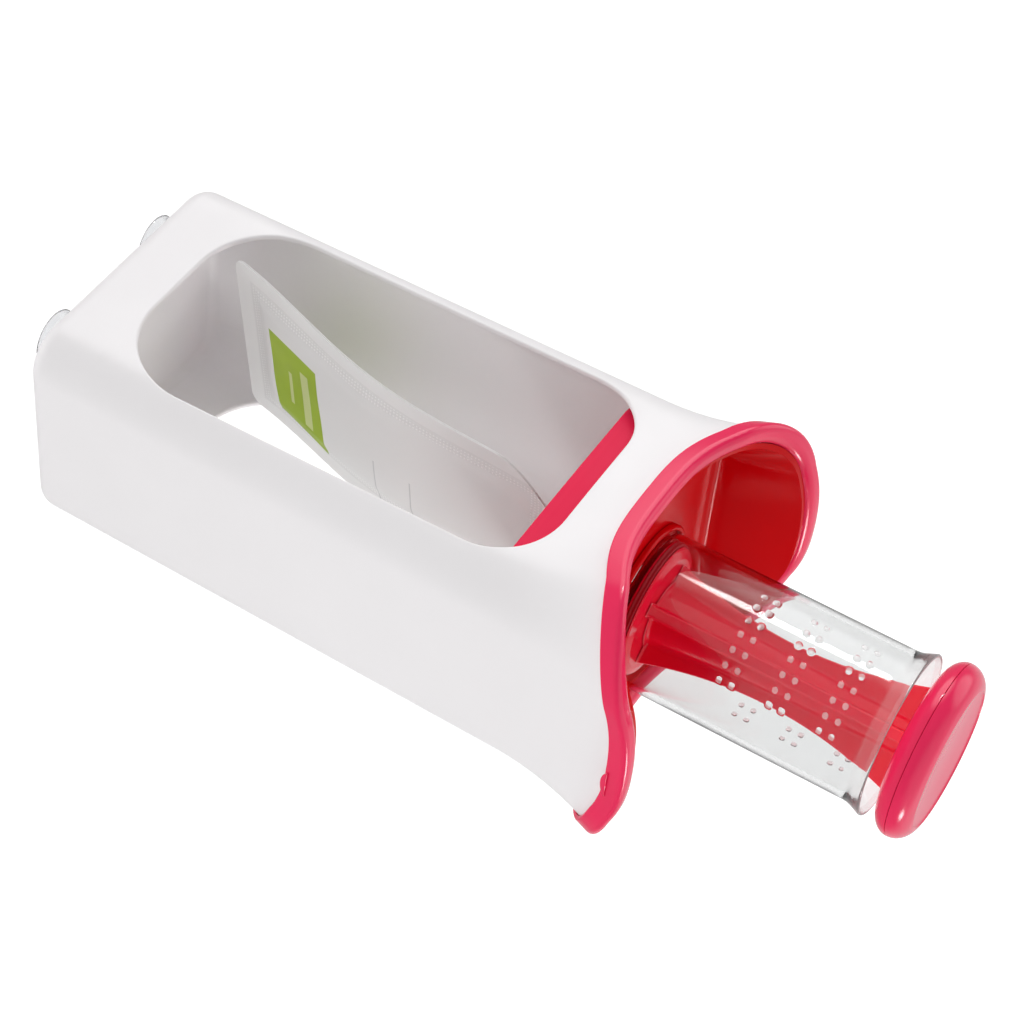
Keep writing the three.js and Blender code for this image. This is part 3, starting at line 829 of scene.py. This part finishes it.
def knob_cap_mesh():
    """Upper half of the knob, with a shallow dish in its face."""
    bottom = KNOB_PARTING + 0.05
    edge = [
        (
            KNOB_RADIUS - KNOB_EDGE * (1 - math.cos(t)),
            bottom + (KNOB_TOP - bottom) * math.sin(t),
        )
        for t in np.linspace(HALF_PI * 0.015, HALF_PI * 0.9, 30)
    ]
    lip = [(22.75, 302.93), (22.6, 302.9), (22.5, 302.75), (22.35, 302.62), (22.1, 302.56)]
    radii = np.linspace(21.6, 0, 14)
    dish = [(r, DISH_BOTTOM + DISH_RISE * (r / DISH_RADIUS) ** 2) for r in radii]
    inner = [(0, 299.8), (20.7, 300.1), (25.3, 299.3), (26.8, bottom), (28.5, bottom)]
    return lathe(inner + [(28.7, bottom + 0.1)] + edge + lip + dish, False, KNOB_SEGMENTS)


# ---- Pouch -----------------------------------------------------------------------------------------

PIVOT = np.array([0.0, 0.0, 185.0])
LEAN = math.radians(10.2)
TURN = math.radians(7.5)
POUCH_UP = np.array([math.sin(LEAN), 0.0, math.cos(LEAN)])
ACROSS = np.array([-math.sin(TURN), math.cos(TURN), 0.0])
ACROSS -= POUCH_UP * (ACROSS @ POUCH_UP)
ACROSS /= np.linalg.norm(ACROSS)
OUT = np.cross(ACROSS, POUCH_UP)
NECK_DOWN = 13.0
SHOULDER_DOWN = 45.0
POUCH_LENGTH = 158.0
NECK_HALF = 8.5
SHOULDER_HALF = 33.0
FOOT_GROWTH = 4.0
FOOT_CORNER = 5.0
WELD = 6.5
WELD_TOP = 20.0
SWELL_RUN = 9.0
SWELL = 1.9
RIPPLE = 0.22
BOW = 6.5
BOW_FROM = 20.0
FILM_GAP = 0.12
LEAST_GAP = 0.05
FILM_THICKNESS = 0.22
CROWN_RADIUS = 40.0
NECK_FULLNESS = 0.35
FULL_FROM = 30.0
FULL_RUN = 60.0


def pouch_half_width(down):
    """Half the width of the pouch at a distance down from the pivot."""
    t = np.clip((down - NECK_DOWN) / (SHOULDER_DOWN - NECK_DOWN), 0, 1)
    top = NECK_HALF + (SHOULDER_HALF - NECK_HALF) * np.sin(t * HALF_PI) ** 1.4
    below = down - SHOULDER_DOWN
    low = SHOULDER_HALF + FOOT_GROWTH * below / (POUCH_LENGTH - SHOULDER_DOWN)
    half = np.where(down < SHOULDER_DOWN, top, low)
    into = np.clip(down - (POUCH_LENGTH - FOOT_CORNER), 0, FOOT_CORNER)
    return half - (FOOT_CORNER - np.sqrt(FOOT_CORNER**2 - into**2))


def film_mesh(side):
    """One film as a thin closed sheet. Its UV map holds s and down in metres."""
    down = np.concatenate(
        [
            np.linspace(NECK_DOWN, 50, 60, endpoint=False),
            np.linspace(50, POUCH_LENGTH - 6, 130, endpoint=False),
            POUCH_LENGTH - 6 * (1 - np.linspace(0, 1, 20)) ** 1.5,
        ]
    )[:, None]
    across = np.sin(np.linspace(-1, 1, 101) * HALF_PI * 0.8) / math.sin(HALF_PI * 0.8)
    half = pouch_half_width(down)
    s = half * across[None]
    edge = np.minimum(half - np.abs(s), (POUCH_LENGTH - down))
    inside = np.clip((edge - WELD) / SWELL_RUN, 0, 1)
    swell = inside * inside * (3 - 2 * inside)
    full = NECK_FULLNESS + (1 - NECK_FULLNESS) * np.clip((down - FULL_FROM) / FULL_RUN, 0, 1)
    crown = np.sqrt(np.clip(1 - (s / CROWN_RADIUS) ** 2, 0, 1))
    out = FILM_GAP + SWELL * swell * full * crown
    out = out + RIPPLE * np.sin(down / 7.5 + 1.3 * np.sin(s / 11)) * np.sin(s / 8 + 0.8) * swell
    t = np.clip((down - BOW_FROM) / (POUCH_LENGTH - BOW_FROM), 0, 1)
    bow = BOW * np.sin(math.pi * t) ** 1.8
    sheets = []
    for inset in (0.0, FILM_THICKNESS):
        level = bow + side * np.maximum(out + FILM_THICKNESS - inset, LEAST_GAP)
        points = PIVOT - down[..., None] * POUCH_UP + s[..., None] * ACROSS
        sheets.append(points + level[..., None] * OUT)
    rows, cols = sheets[0].shape[:2]
    skin = Skin()
    for sheet in sheets:
        skin.grid(sheet)
    rim = [(0, c) for c in range(cols)] + [(r, cols - 1) for r in range(1, rows)]
    rim += [(rows - 1, c) for c in range(cols - 2, -1, -1)] + [(r, 0) for r in range(rows - 2, 0, -1)]
    rows_of_rim = np.array([[sheet[r, c] for r, c in rim] for sheet in sheets])
    skin.grid(rows_of_rim, wrap_cols=True)
    mesh = skin.bmesh()
    layer = mesh.loops.layers.uv.new("film")
    for face in mesh.faces:
        for corner in face.loops:
            offset = np.array(corner.vert.co) - PIVOT
            corner[layer].uv = (float(offset @ ACROSS) * MM, float(-offset @ POUCH_UP) * MM)
    return mesh


SPOUT_BORE = 5.4
SPOUT_RADIUS = 6.6
SPOUT_FOOT = 174.5
SPOUT_TOP = 190.0
FLANGES = ((8.4, 180.0, 181.2), (8.0, 184.4, 185.4))  # radius, foot and top of each


def spout_mesh():
    """Round spout with two flanges."""
    corners = [(SPOUT_BORE, SPOUT_FOOT, 0.2), (SPOUT_RADIUS, SPOUT_FOOT, 0.3)]
    for radius, foot, top in FLANGES:
        corners += [(SPOUT_RADIUS, foot, 0.3), (radius, foot, 0.3)]
        corners += [(radius, top, 0.3), (SPOUT_RADIUS, top, 0.3)]
    corners += [(SPOUT_RADIUS, SPOUT_TOP, 0.4), (SPOUT_BORE, SPOUT_TOP, 0.2)]
    profile = rounded(
        corners,
        closed=True,
        step=30,
    )
    return lathe(profile, True, 80)


# ---- Materials -------------------------------------------------------------------------------------


class Nodes:
    """Short hand for building a node tree."""

    def __init__(self, name):
        self.material = bpy.data.materials.new(name)
        self.material.use_nodes = True
        self.tree = self.material.node_tree
        self.shader = self.tree.nodes["Principled BSDF"]

    def add(self, kind, inputs=None, **settings):
        node = self.tree.nodes.new(kind)
        for key, value in settings.items():
            setattr(node, key, value)
        for key, value in (inputs or {}).items():
            self.put(node.inputs[key], value)
        return node

    def put(self, socket, value):
        if isinstance(value, bpy.types.NodeSocket):
            self.tree.links.new(value, socket)
        else:
            socket.default_value = value

    def set(self, **inputs):
        for key, value in inputs.items():
            self.put(self.shader.inputs[key.replace("_", " ")], value)

    def where(self):
        return self.add("ShaderNodeTexCoord").outputs["Object"]

    def noise(self, scale, detail, roughness=0.5):
        inputs = {"Vector": self.where(), "Scale": scale, "Detail": detail}
        node = self.add("ShaderNodeTexNoise", inputs | {"Roughness": roughness})
        return node.outputs["Fac"]

    def span(self, value, low, high, start=0.3, end=0.7):
        node = self.add(
            "ShaderNodeMapRange",
            {"Value": value, "From Min": start, "From Max": end, "To Min": low, "To Max": high},
        )
        return node.outputs["Result"]

    def mix(self, factor, a, b):
        node = self.add("ShaderNodeMix", data_type="RGBA")
        self.put(node.inputs["Factor"], factor)
        self.put(node.inputs[6], a)
        self.put(node.inputs[7], b)
        return node.outputs[2]

    def math(self, operation, a, b=0.0, c=0.0, clamp=False):
        node = self.add("ShaderNodeMath", operation=operation, use_clamp=clamp)
        for k, value in enumerate((a, b, c)):
            self.put(node.inputs[k], value)
        return node.outputs[0]

    def bump(self, height, strength, distance):
        node = self.add(
            "ShaderNodeBump", {"Height": height, "Strength": strength, "Distance": distance}
        )
        return node.outputs["Normal"]


def tint(color, scale):
    return (*[min(1.0, c * scale) for c in color], 1.0)


MOULD_GRAIN = 1400.0
# Pale pink that sharp edges are mixed towards: a painted highlight
EDGE_HIGHLIGHT = (1.0, 0.8, 0.85, 1.0)


def moulded(name, color, roughness, variation=0.02, gloss=0.5, edges=0.0):
    """Injection moulded plastic: faint flow marks, uneven gloss and a fine moulded grain.

    Sharp edges can get a painted highlight: their colour is mixed towards pale pink.
    """
    n = Nodes(name)
    flow = n.noise(22.0, 2.0)
    shade = n.span(flow, 0.0, 1.0)
    base = n.mix(shade, tint(color, 1 - variation), tint(color, 1 + variation))
    # Painted highlight: sharp edges, found by pointiness, are mixed towards pale pink.
    if edges:
        corners = n.add("ShaderNodeNewGeometry").outputs["Pointiness"]
        pale = n.mix(0.5, tint(color, 1.0), EDGE_HIGHLIGHT)
        base = n.mix(n.span(corners, 0.0, edges, 0.52, 0.62), base, pale)
    n.set(Base_Color=base)
    patches = n.noise(55.0, 4.0, 0.6)
    n.set(Roughness=n.span(patches, roughness * 0.85, roughness * 1.18))
    n.set(Normal=n.bump(n.noise(MOULD_GRAIN, 2.0), 0.35, 0.00002), IOR=1.49, Specular_IOR_Level=gloss)
    return n.material


# Colour of the painted highlight on the tube's grip dots and lip
HIGHLIGHT_WHITE = (0.95, 0.93, 0.93, 1.0)

# Where the tube's painted highlight lies, in metres: distance from its axis, and two heights
RAISED_FROM = 0.02508
FLARE_FOOT = BASE + 0.279
LIP_EDGE = BASE + 0.2864


def highlight_mask(n, radius):
    """Mask of the painted highlight: 1 at raised dots and the edge of the lip, less on the flare below
    the lip.
    """
    split = n.add("ShaderNodeSeparateXYZ", {"Vector": n.where()}).outputs
    x2 = n.math("MULTIPLY", split["X"], split["X"])
    away = n.math("SQRT", n.math("MULTIPLY_ADD", split["Y"], split["Y"], x2))
    raised = n.math("MULTIPLY_ADD", away, 8000.0, -8000.0 * radius, clamp=True)
    below = n.math("MULTIPLY_ADD", split["Z"], -1000.0, 1000.0 * FLARE_FOOT, clamp=True)
    edge = n.math("MULTIPLY_ADD", split["Z"], 2000.0, -2000.0 * LIP_EDGE, clamp=True)
    return n.math("MAXIMUM", n.math("MULTIPLY", raised, n.math("MAXIMUM", below, 0.3)), edge)


def clear_plastic(name, color, roughness, ior, raised=None):
    """Clear plastic that throws no shadow and lets diffuse light through, with a painted highlight
    where raised: paler and less clear there.
    """
    n = Nodes(name)
    smear = n.noise(40.0, 3.0)
    base = n.mix(n.span(smear, 0, 1), tint(color, 0.99), tint(color, 1.0))
    n.set(Transmission_Weight=1.0)
    if raised:
        dots = highlight_mask(n, raised)
        # Painted highlight: the raised dots and the lip's edge are mixed towards white and let less
        # light through.
        base = n.mix(dots, base, HIGHLIGHT_WHITE)
        n.set(Transmission_Weight=n.math("MULTIPLY_ADD", dots, -0.4, 1.0))
    n.set(Base_Color=base, IOR=ior)
    n.set(Roughness=n.span(smear, roughness * 0.5, roughness * 1.6))
    n.set(Normal=n.bump(n.noise(30.0, 1.0), 0.15, 0.0001))
    path = n.add("ShaderNodeLightPath").outputs
    passing = n.math("MAXIMUM", path["Is Shadow Ray"], path["Is Diffuse Ray"])
    through = n.add("ShaderNodeBsdfTransparent", {"Color": (1.0, 1.0, 1.0, 1.0)})
    blend = n.add("ShaderNodeMixShader", {"Fac": passing})
    n.tree.links.new(n.shader.outputs["BSDF"], blend.inputs[1])
    n.tree.links.new(through.outputs["BSDF"], blend.inputs[2])
    n.tree.links.new(blend.outputs["Shader"], n.tree.nodes["Material Output"].inputs["Surface"])
    return n.material


FILM_WHITE = (0.98, 0.975, 0.97)
LINE_GREY = (0.45, 0.46, 0.47, 1)
LABEL_CORNERS = ((-16.5, 142.0), (-14.5, 118.6), (28.5, 117.4), (25.9, 141.4))
LABEL_GREEN = (0.40, 0.56, 0.02)
LABEL_PALE = (0.66, 0.74, 0.30)
LABEL_BARS = ((-8.0, 20.0, 123.0, 127.0), (-2.0, 14.0, 132.0, 133.6))  # left, right, top, foot
BAND_INSET = 7.6
BAND_WIDTH = 3.4
DOT_SPACING = 1.3
MEASURES = (77.0, 92.0)
MEASURE_HALF = 0.25


def quad_mask(n, s, down, corners):
    """1 inside the four sided area with those (s, down) corners, 0 outside."""
    mask = None
    for (x1, y1), (x0, y0) in zip(corners, corners[1:] + corners[:1]):
        length = math.hypot(x1 - x0, y1 - y0)
        nx, ny = (y1 - y0) / length, -(x1 - x0) / length
        side = n.math("MULTIPLY_ADD", down, ny, n.math("MULTIPLY", s, nx))
        side = n.math("ADD", side, -(nx * x0 + ny * y0))
        step = n.math("MULTIPLY_ADD", side, 6.0, 0.5, clamp=True)
        mask = step if mask is None else n.math("MULTIPLY", mask, step)
    return mask


def strip_mask(n, value, low, high, softness=6.0):
    """1 where a value lies between two limits, with soft edges."""
    above = n.math("MULTIPLY_ADD", value, softness, 0.5 - low * softness, clamp=True)
    below = n.math("MULTIPLY_ADD", value, -softness, 0.5 + high * softness, clamp=True)
    return n.math("MULTIPLY", above, below)


def dot_mask(n, s, down):
    """Rows of round embossed dots."""
    squares = []
    for value in (s, down):
        cell = n.math("FRACT", n.math("MULTIPLY", value, 1 / DOT_SPACING))
        middle = n.math("SUBTRACT", cell, 0.5)
        squares.append(n.math("MULTIPLY", middle, middle))
    away = n.math("ADD", squares[0], squares[1])
    return n.math("MULTIPLY_ADD", away, -9.0, 1.0, clamp=True)


def make_film():
    """Frosted film with a welded border, an embossed dot band, measuring lines and a label."""
    n = Nodes("frosted_film")
    uv = n.add("ShaderNodeUVMap", uv_map="film").outputs["UV"]
    split = n.add("ShaderNodeSeparateXYZ", {"Vector": uv})
    s = n.math("MULTIPLY", split.outputs["X"], 1000.0)
    down = n.math("MULTIPLY", split.outputs["Y"], 1000.0)
    size = n.math("ABSOLUTE", s)
    growth = FOOT_GROWTH / (POUCH_LENGTH - SHOULDER_DOWN)
    half = n.math("MULTIPLY_ADD", down, growth, SHOULDER_HALF - growth * SHOULDER_DOWN)
    from_side = n.math("SUBTRACT", half, size)
    from_foot = n.math("SUBTRACT", POUCH_LENGTH, down)
    inset = n.math("MINIMUM", from_side, from_foot)
    inset = n.math("MINIMUM", inset, n.math("SUBTRACT", down, WELD_TOP))
    weld = n.math("MULTIPLY_ADD", inset, -3.0, 0.5 + 3.0 * WELD, clamp=True)
    band = strip_mask(n, inset, BAND_INSET, BAND_INSET + BAND_WIDTH)
    dots = n.math("MULTIPLY", dot_mask(n, s, down), band)
    lines = None
    for place in MEASURES:
        line = strip_mask(n, down, place - MEASURE_HALF, place + MEASURE_HALF)
        lines = line if lines is None else n.math("MAXIMUM", lines, line)
    lines = n.math("MULTIPLY", lines, strip_mask(n, s, 6.0, 30.0))
    label = quad_mask(n, s, down, LABEL_CORNERS)
    bars = None
    for left, right, high, low in LABEL_BARS:
        bar = n.math("MULTIPLY", strip_mask(n, s, left, right), strip_mask(n, down, high, low))
        bars = bar if bars is None else n.math("MAXIMUM", bars, bar)
    cloud = n.span(n.noise(30.0, 1.0), 0.0, 1.0, 0.2, 0.8)
    base = n.mix(cloud, tint(FILM_WHITE, 0.98), tint(FILM_WHITE, 1.02))
    base = n.mix(n.math("MULTIPLY", lines, 0.5), base, LINE_GREY)
    shade = n.span(n.noise(60.0, 2.0), 0, 1)
    green = n.mix(shade, tint(LABEL_GREEN, 0.94), tint(LABEL_GREEN, 1.06))
    green = n.mix(bars, green, tint(LABEL_PALE, 1.0))
    n.set(Base_Color=n.mix(label, base, green))
    n.set(Roughness=n.span(n.noise(90.0, 1.0), 0.28, 0.40, 0.2, 0.8), IOR=1.45)
    cover = n.math("MULTIPLY_ADD", weld, 0.06, 0.84)
    cover = n.math("MULTIPLY_ADD", dots, 0.20, cover)
    n.set(Alpha=n.math("MAXIMUM", cover, n.math("MULTIPLY", label, 0.94), clamp=True))
    wrinkles = n.math("MULTIPLY", n.noise(70.0, 1.0), 0.25)
    relief = n.math("MULTIPLY_ADD", dots, 0.8, wrinkles)
    n.set(Normal=n.bump(relief, 0.5, 0.0004))
    return n.material


def floor_material():
    """Pale matt floor that gives off some light of its own, so that its shadows stay faint."""
    n = Nodes("floor")
    cloud = n.span(n.noise(3.0, 2.0), 0.0, 1.0)
    n.set(Base_Color=n.mix(cloud, (0.50, 0.50, 0.50, 1), (0.51, 0.51, 0.51, 1)), Roughness=0.9)
    n.set(Emission_Color=(1, 1, 1, 1), Emission_Strength=0.70)
    return n.material


WHITE = moulded("white_shell", (0.93, 0.91, 0.92), 0.34, 0.008)
TRIM_RED = moulded("crimson_trim", (0.88, 0.022, 0.105), 0.16, 0.03, gloss=0.45)
SKIRT_RED = moulded("crimson_skirt", (0.84, 0.018, 0.08), 0.36, 0.03, gloss=0.12)
# Darker, less glossy copy of the crimson: painted shade for the inside of the tray, the collar and the
# holder.
SHADED_TRAY_RED = moulded("crimson_tray", (0.60, 0.001, 0.004), 0.16, 0.03, gloss=0.12)
# The plunger's sharp edges get a painted highlight.
PLUNGER_RED = moulded("crimson_plunger", (0.96, 0.006, 0.04), 0.16, 0.03, gloss=0.5, edges=0.6)
SEAL_RED = moulded("seal_silicone", (0.45, 0.010, 0.025), 0.55, 0.05)
SPOUT_WHITE = moulded("spout_white", (0.86, 0.86, 0.85), 0.4)
# The tube's grip dots and lip edge carry a painted highlight.
TUBE_CLEAR = clear_plastic("clear_tube", (0.82, 0.825, 0.825), 0.02, 1.33, RAISED_FROM)
VINYL = clear_plastic("clear_vinyl", (0.72, 0.73, 0.74), 0.12, 1.4)
FILM = make_film()

# ---- The pieces ------------------------------------------------------------------------------------

finish_piece("shell", housing_mesh(), "housing", ["housing_shell"], WHITE)
for place, centre in CUP_PLACES.items():
    finish_piece(
        f"cup_{place}", cup_mesh(centre), "housing", [f"suction_cup_{place}"], VINYL
    )

finish_piece("trim", trim_mesh(), "carriage", ["rim_trim"], TRIM_RED)
# The tray's inward faces wear the painted-shade crimson, its outward faces the skirt's crimson.
liner = finish_piece("tray_liner", tray_mesh(), "carriage", ["tray"], SHADED_TRAY_RED)
liner.data.materials.append(SKIRT_RED)
finish_piece("collar", collar_mesh(), "carriage", ["tube_collar"], SHADED_TRAY_RED)
finish_piece("holder", holder_mesh(), "carriage", ["spout_holder"], SHADED_TRAY_RED)
for hand, sign in (("right", 1), ("left", -1)):
    finish_piece(
        f"catch_{hand}", catch_mesh(sign), "carriage", [f"snap_tab_{hand}"], TRIM_RED
    )

finish_piece("tube", tube_mesh(), "tube", ["filling_tube"], TUBE_CLEAR, 50, False)
finish_piece("stem", stem_mesh(), "plunger", ["plunger_stem"], PLUNGER_RED)
finish_piece("piston", piston_mesh(), "plunger", ["piston_disc"], PLUNGER_RED)
finish_piece("seal", seal_mesh(), "plunger", ["piston_seal"], SEAL_RED)
finish_piece("knob_lower", knob_base_mesh(), "plunger", ["knob_base"], TRIM_RED)
finish_piece("knob_upper", knob_cap_mesh(), "plunger", ["knob_cap"], TRIM_RED)

finish_piece("spout", spout_mesh(), "spout", ["pouch_spout"], SPOUT_WHITE)
for hand, sign in (("right", 1), ("left", -1)):
    film = finish_piece(
        f"film_{hand}", film_mesh(sign), None, [f"pouch_{hand}_film"], FILM, 60, False
    )
    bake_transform(film)


# ---- Floor, light and camera -------------------------------------------------------------------------


FLOOR_RADIUS = 14.0
FLOOR_GAP = 0.0002


def make_floor():
    mesh = bmesh.new()
    bmesh.ops.create_circle(mesh, cap_ends=True, segments=96, radius=FLOOR_RADIUS)
    data = bpy.data.meshes.new("floor")
    mesh.to_mesh(data)
    mesh.free()
    floor = bpy.data.objects.new("floor", data)
    floor.location.z = CAD_BOX[0].z - FLOOR_GAP
    bpy.context.scene.collection.objects.link(floor)
    data.materials.append(floor_material())
    floor.visible_glossy = False


def make_light(name, direction, distance, size, power):
    """Round lamp that shines at the middle of the object and isn't mirrored in it."""
    data = bpy.data.lights.new(name, "AREA")
    data.shape = "DISK"
    data.size = size
    data.energy = power
    light = bpy.data.objects.new(name, data)
    centre = (CAD_BOX[0] + CAD_BOX[1]) / 2
    towards = Vector(direction).normalized()
    light.location = centre + towards * distance
    light.rotation_mode = "QUATERNION"
    light.rotation_quaternion = towards.to_track_quat("Z", "Y")
    light.visible_glossy = False
    bpy.context.scene.collection.objects.link(light)


# Soft boxes of the studio: direction, inner and outer angle in degrees, brightness
SOFT_BOXES = (
    ((-0.60, -0.72, -0.35), 14, 32, 3.0),
    ((-0.45, -0.85, -0.20), 3, 6, 36.0),
    ((-0.55, 0.78, 0.30), 25, 55, 0.45),
    ((0.35, 0.75, 0.56), 4, 8, 14.0),
    ((-0.80, -0.30, 0.50), 14, 30, 1.6),
    ((0.10, 0.20, 0.97), 25, 60, 0.7),
)

ROOM_LIGHT = 0.235
BACKDROP = 0.95


def make_world():
    """Even room light with brighter soft boxes.

    The camera doesn't see them directly or through clear pieces: it sees a plain pale backdrop.
    """
    world = bpy.data.worlds.new("studio")
    world.use_nodes = True
    tree = world.node_tree
    where = tree.nodes.new("ShaderNodeTexCoord").outputs["Generated"]
    total = None
    for direction, inner, outer, level in SOFT_BOXES:
        dot = tree.nodes.new("ShaderNodeVectorMath")
        dot.operation = "DOT_PRODUCT"
        dot.inputs[1].default_value = Vector(direction).normalized()
        tree.links.new(where, dot.inputs[0])
        span = tree.nodes.new("ShaderNodeMapRange")
        span.interpolation_type = "SMOOTHSTEP"
        span.inputs["From Min"].default_value = math.cos(math.radians(outer))
        span.inputs["From Max"].default_value = math.cos(math.radians(inner))
        span.inputs["To Min"].default_value = 0.0
        span.inputs["To Max"].default_value = level
        tree.links.new(dot.outputs["Value"], span.inputs["Value"])
        add = tree.nodes.new("ShaderNodeMath")
        add.operation = "ADD"
        tree.links.new(span.outputs["Result"], add.inputs[0])
        if total is None:
            add.inputs[1].default_value = ROOM_LIGHT
        else:
            tree.links.new(total, add.inputs[1])
        total = add.outputs[0]
    path = tree.nodes.new("ShaderNodeLightPath").outputs
    seen = tree.nodes.new("ShaderNodeMath")
    seen.operation = "MAXIMUM"
    tree.links.new(path["Is Camera Ray"], seen.inputs[0])
    tree.links.new(path["Is Transmission Ray"], seen.inputs[1])
    backdrop = tree.nodes.new("ShaderNodeMix")
    tree.links.new(seen.outputs[0], backdrop.inputs["Factor"])
    tree.links.new(total, backdrop.inputs["A"])
    backdrop.inputs["B"].default_value = BACKDROP
    background = tree.nodes["Background"]
    background.inputs["Color"].default_value = (1.0, 1.0, 1.0, 1.0)
    tree.links.new(backdrop.outputs["Result"], background.inputs["Strength"])
    bpy.context.scene.world = world


CAMERA_PLACE = (0.548540, -0.695895, 0.428385)
CAMERA_TURN = (0.171676, 0.460837, -0.372604, 0.786970)
LENS = 103.956


def make_camera():
    data = bpy.data.cameras.new("camera")
    data.lens = LENS
    data.sensor_width = 36.0
    data.clip_start = 0.05
    data.clip_end = 60.0
    camera = bpy.data.objects.new("camera", data)
    camera.location = CAMERA_PLACE
    camera.rotation_mode = "QUATERNION"
    camera.rotation_quaternion = CAMERA_TURN
    bpy.context.scene.collection.objects.link(camera)
    bpy.context.scene.camera = camera


make_floor()
make_world()
make_light("key", (0.05, -0.88, 0.45), 1.4, 0.8, 1.15)
make_light("back", (0.75, 0.55, 0.35), 1.4, 0.8, 1.7)
make_light("top", (0.2, 0.1, 1.0), 1.5, 1.0, 1.4)
make_camera()
bpy.context.scene.view_settings.view_transform = "Standard"
bpy.context.scene.view_settings.look = "None"
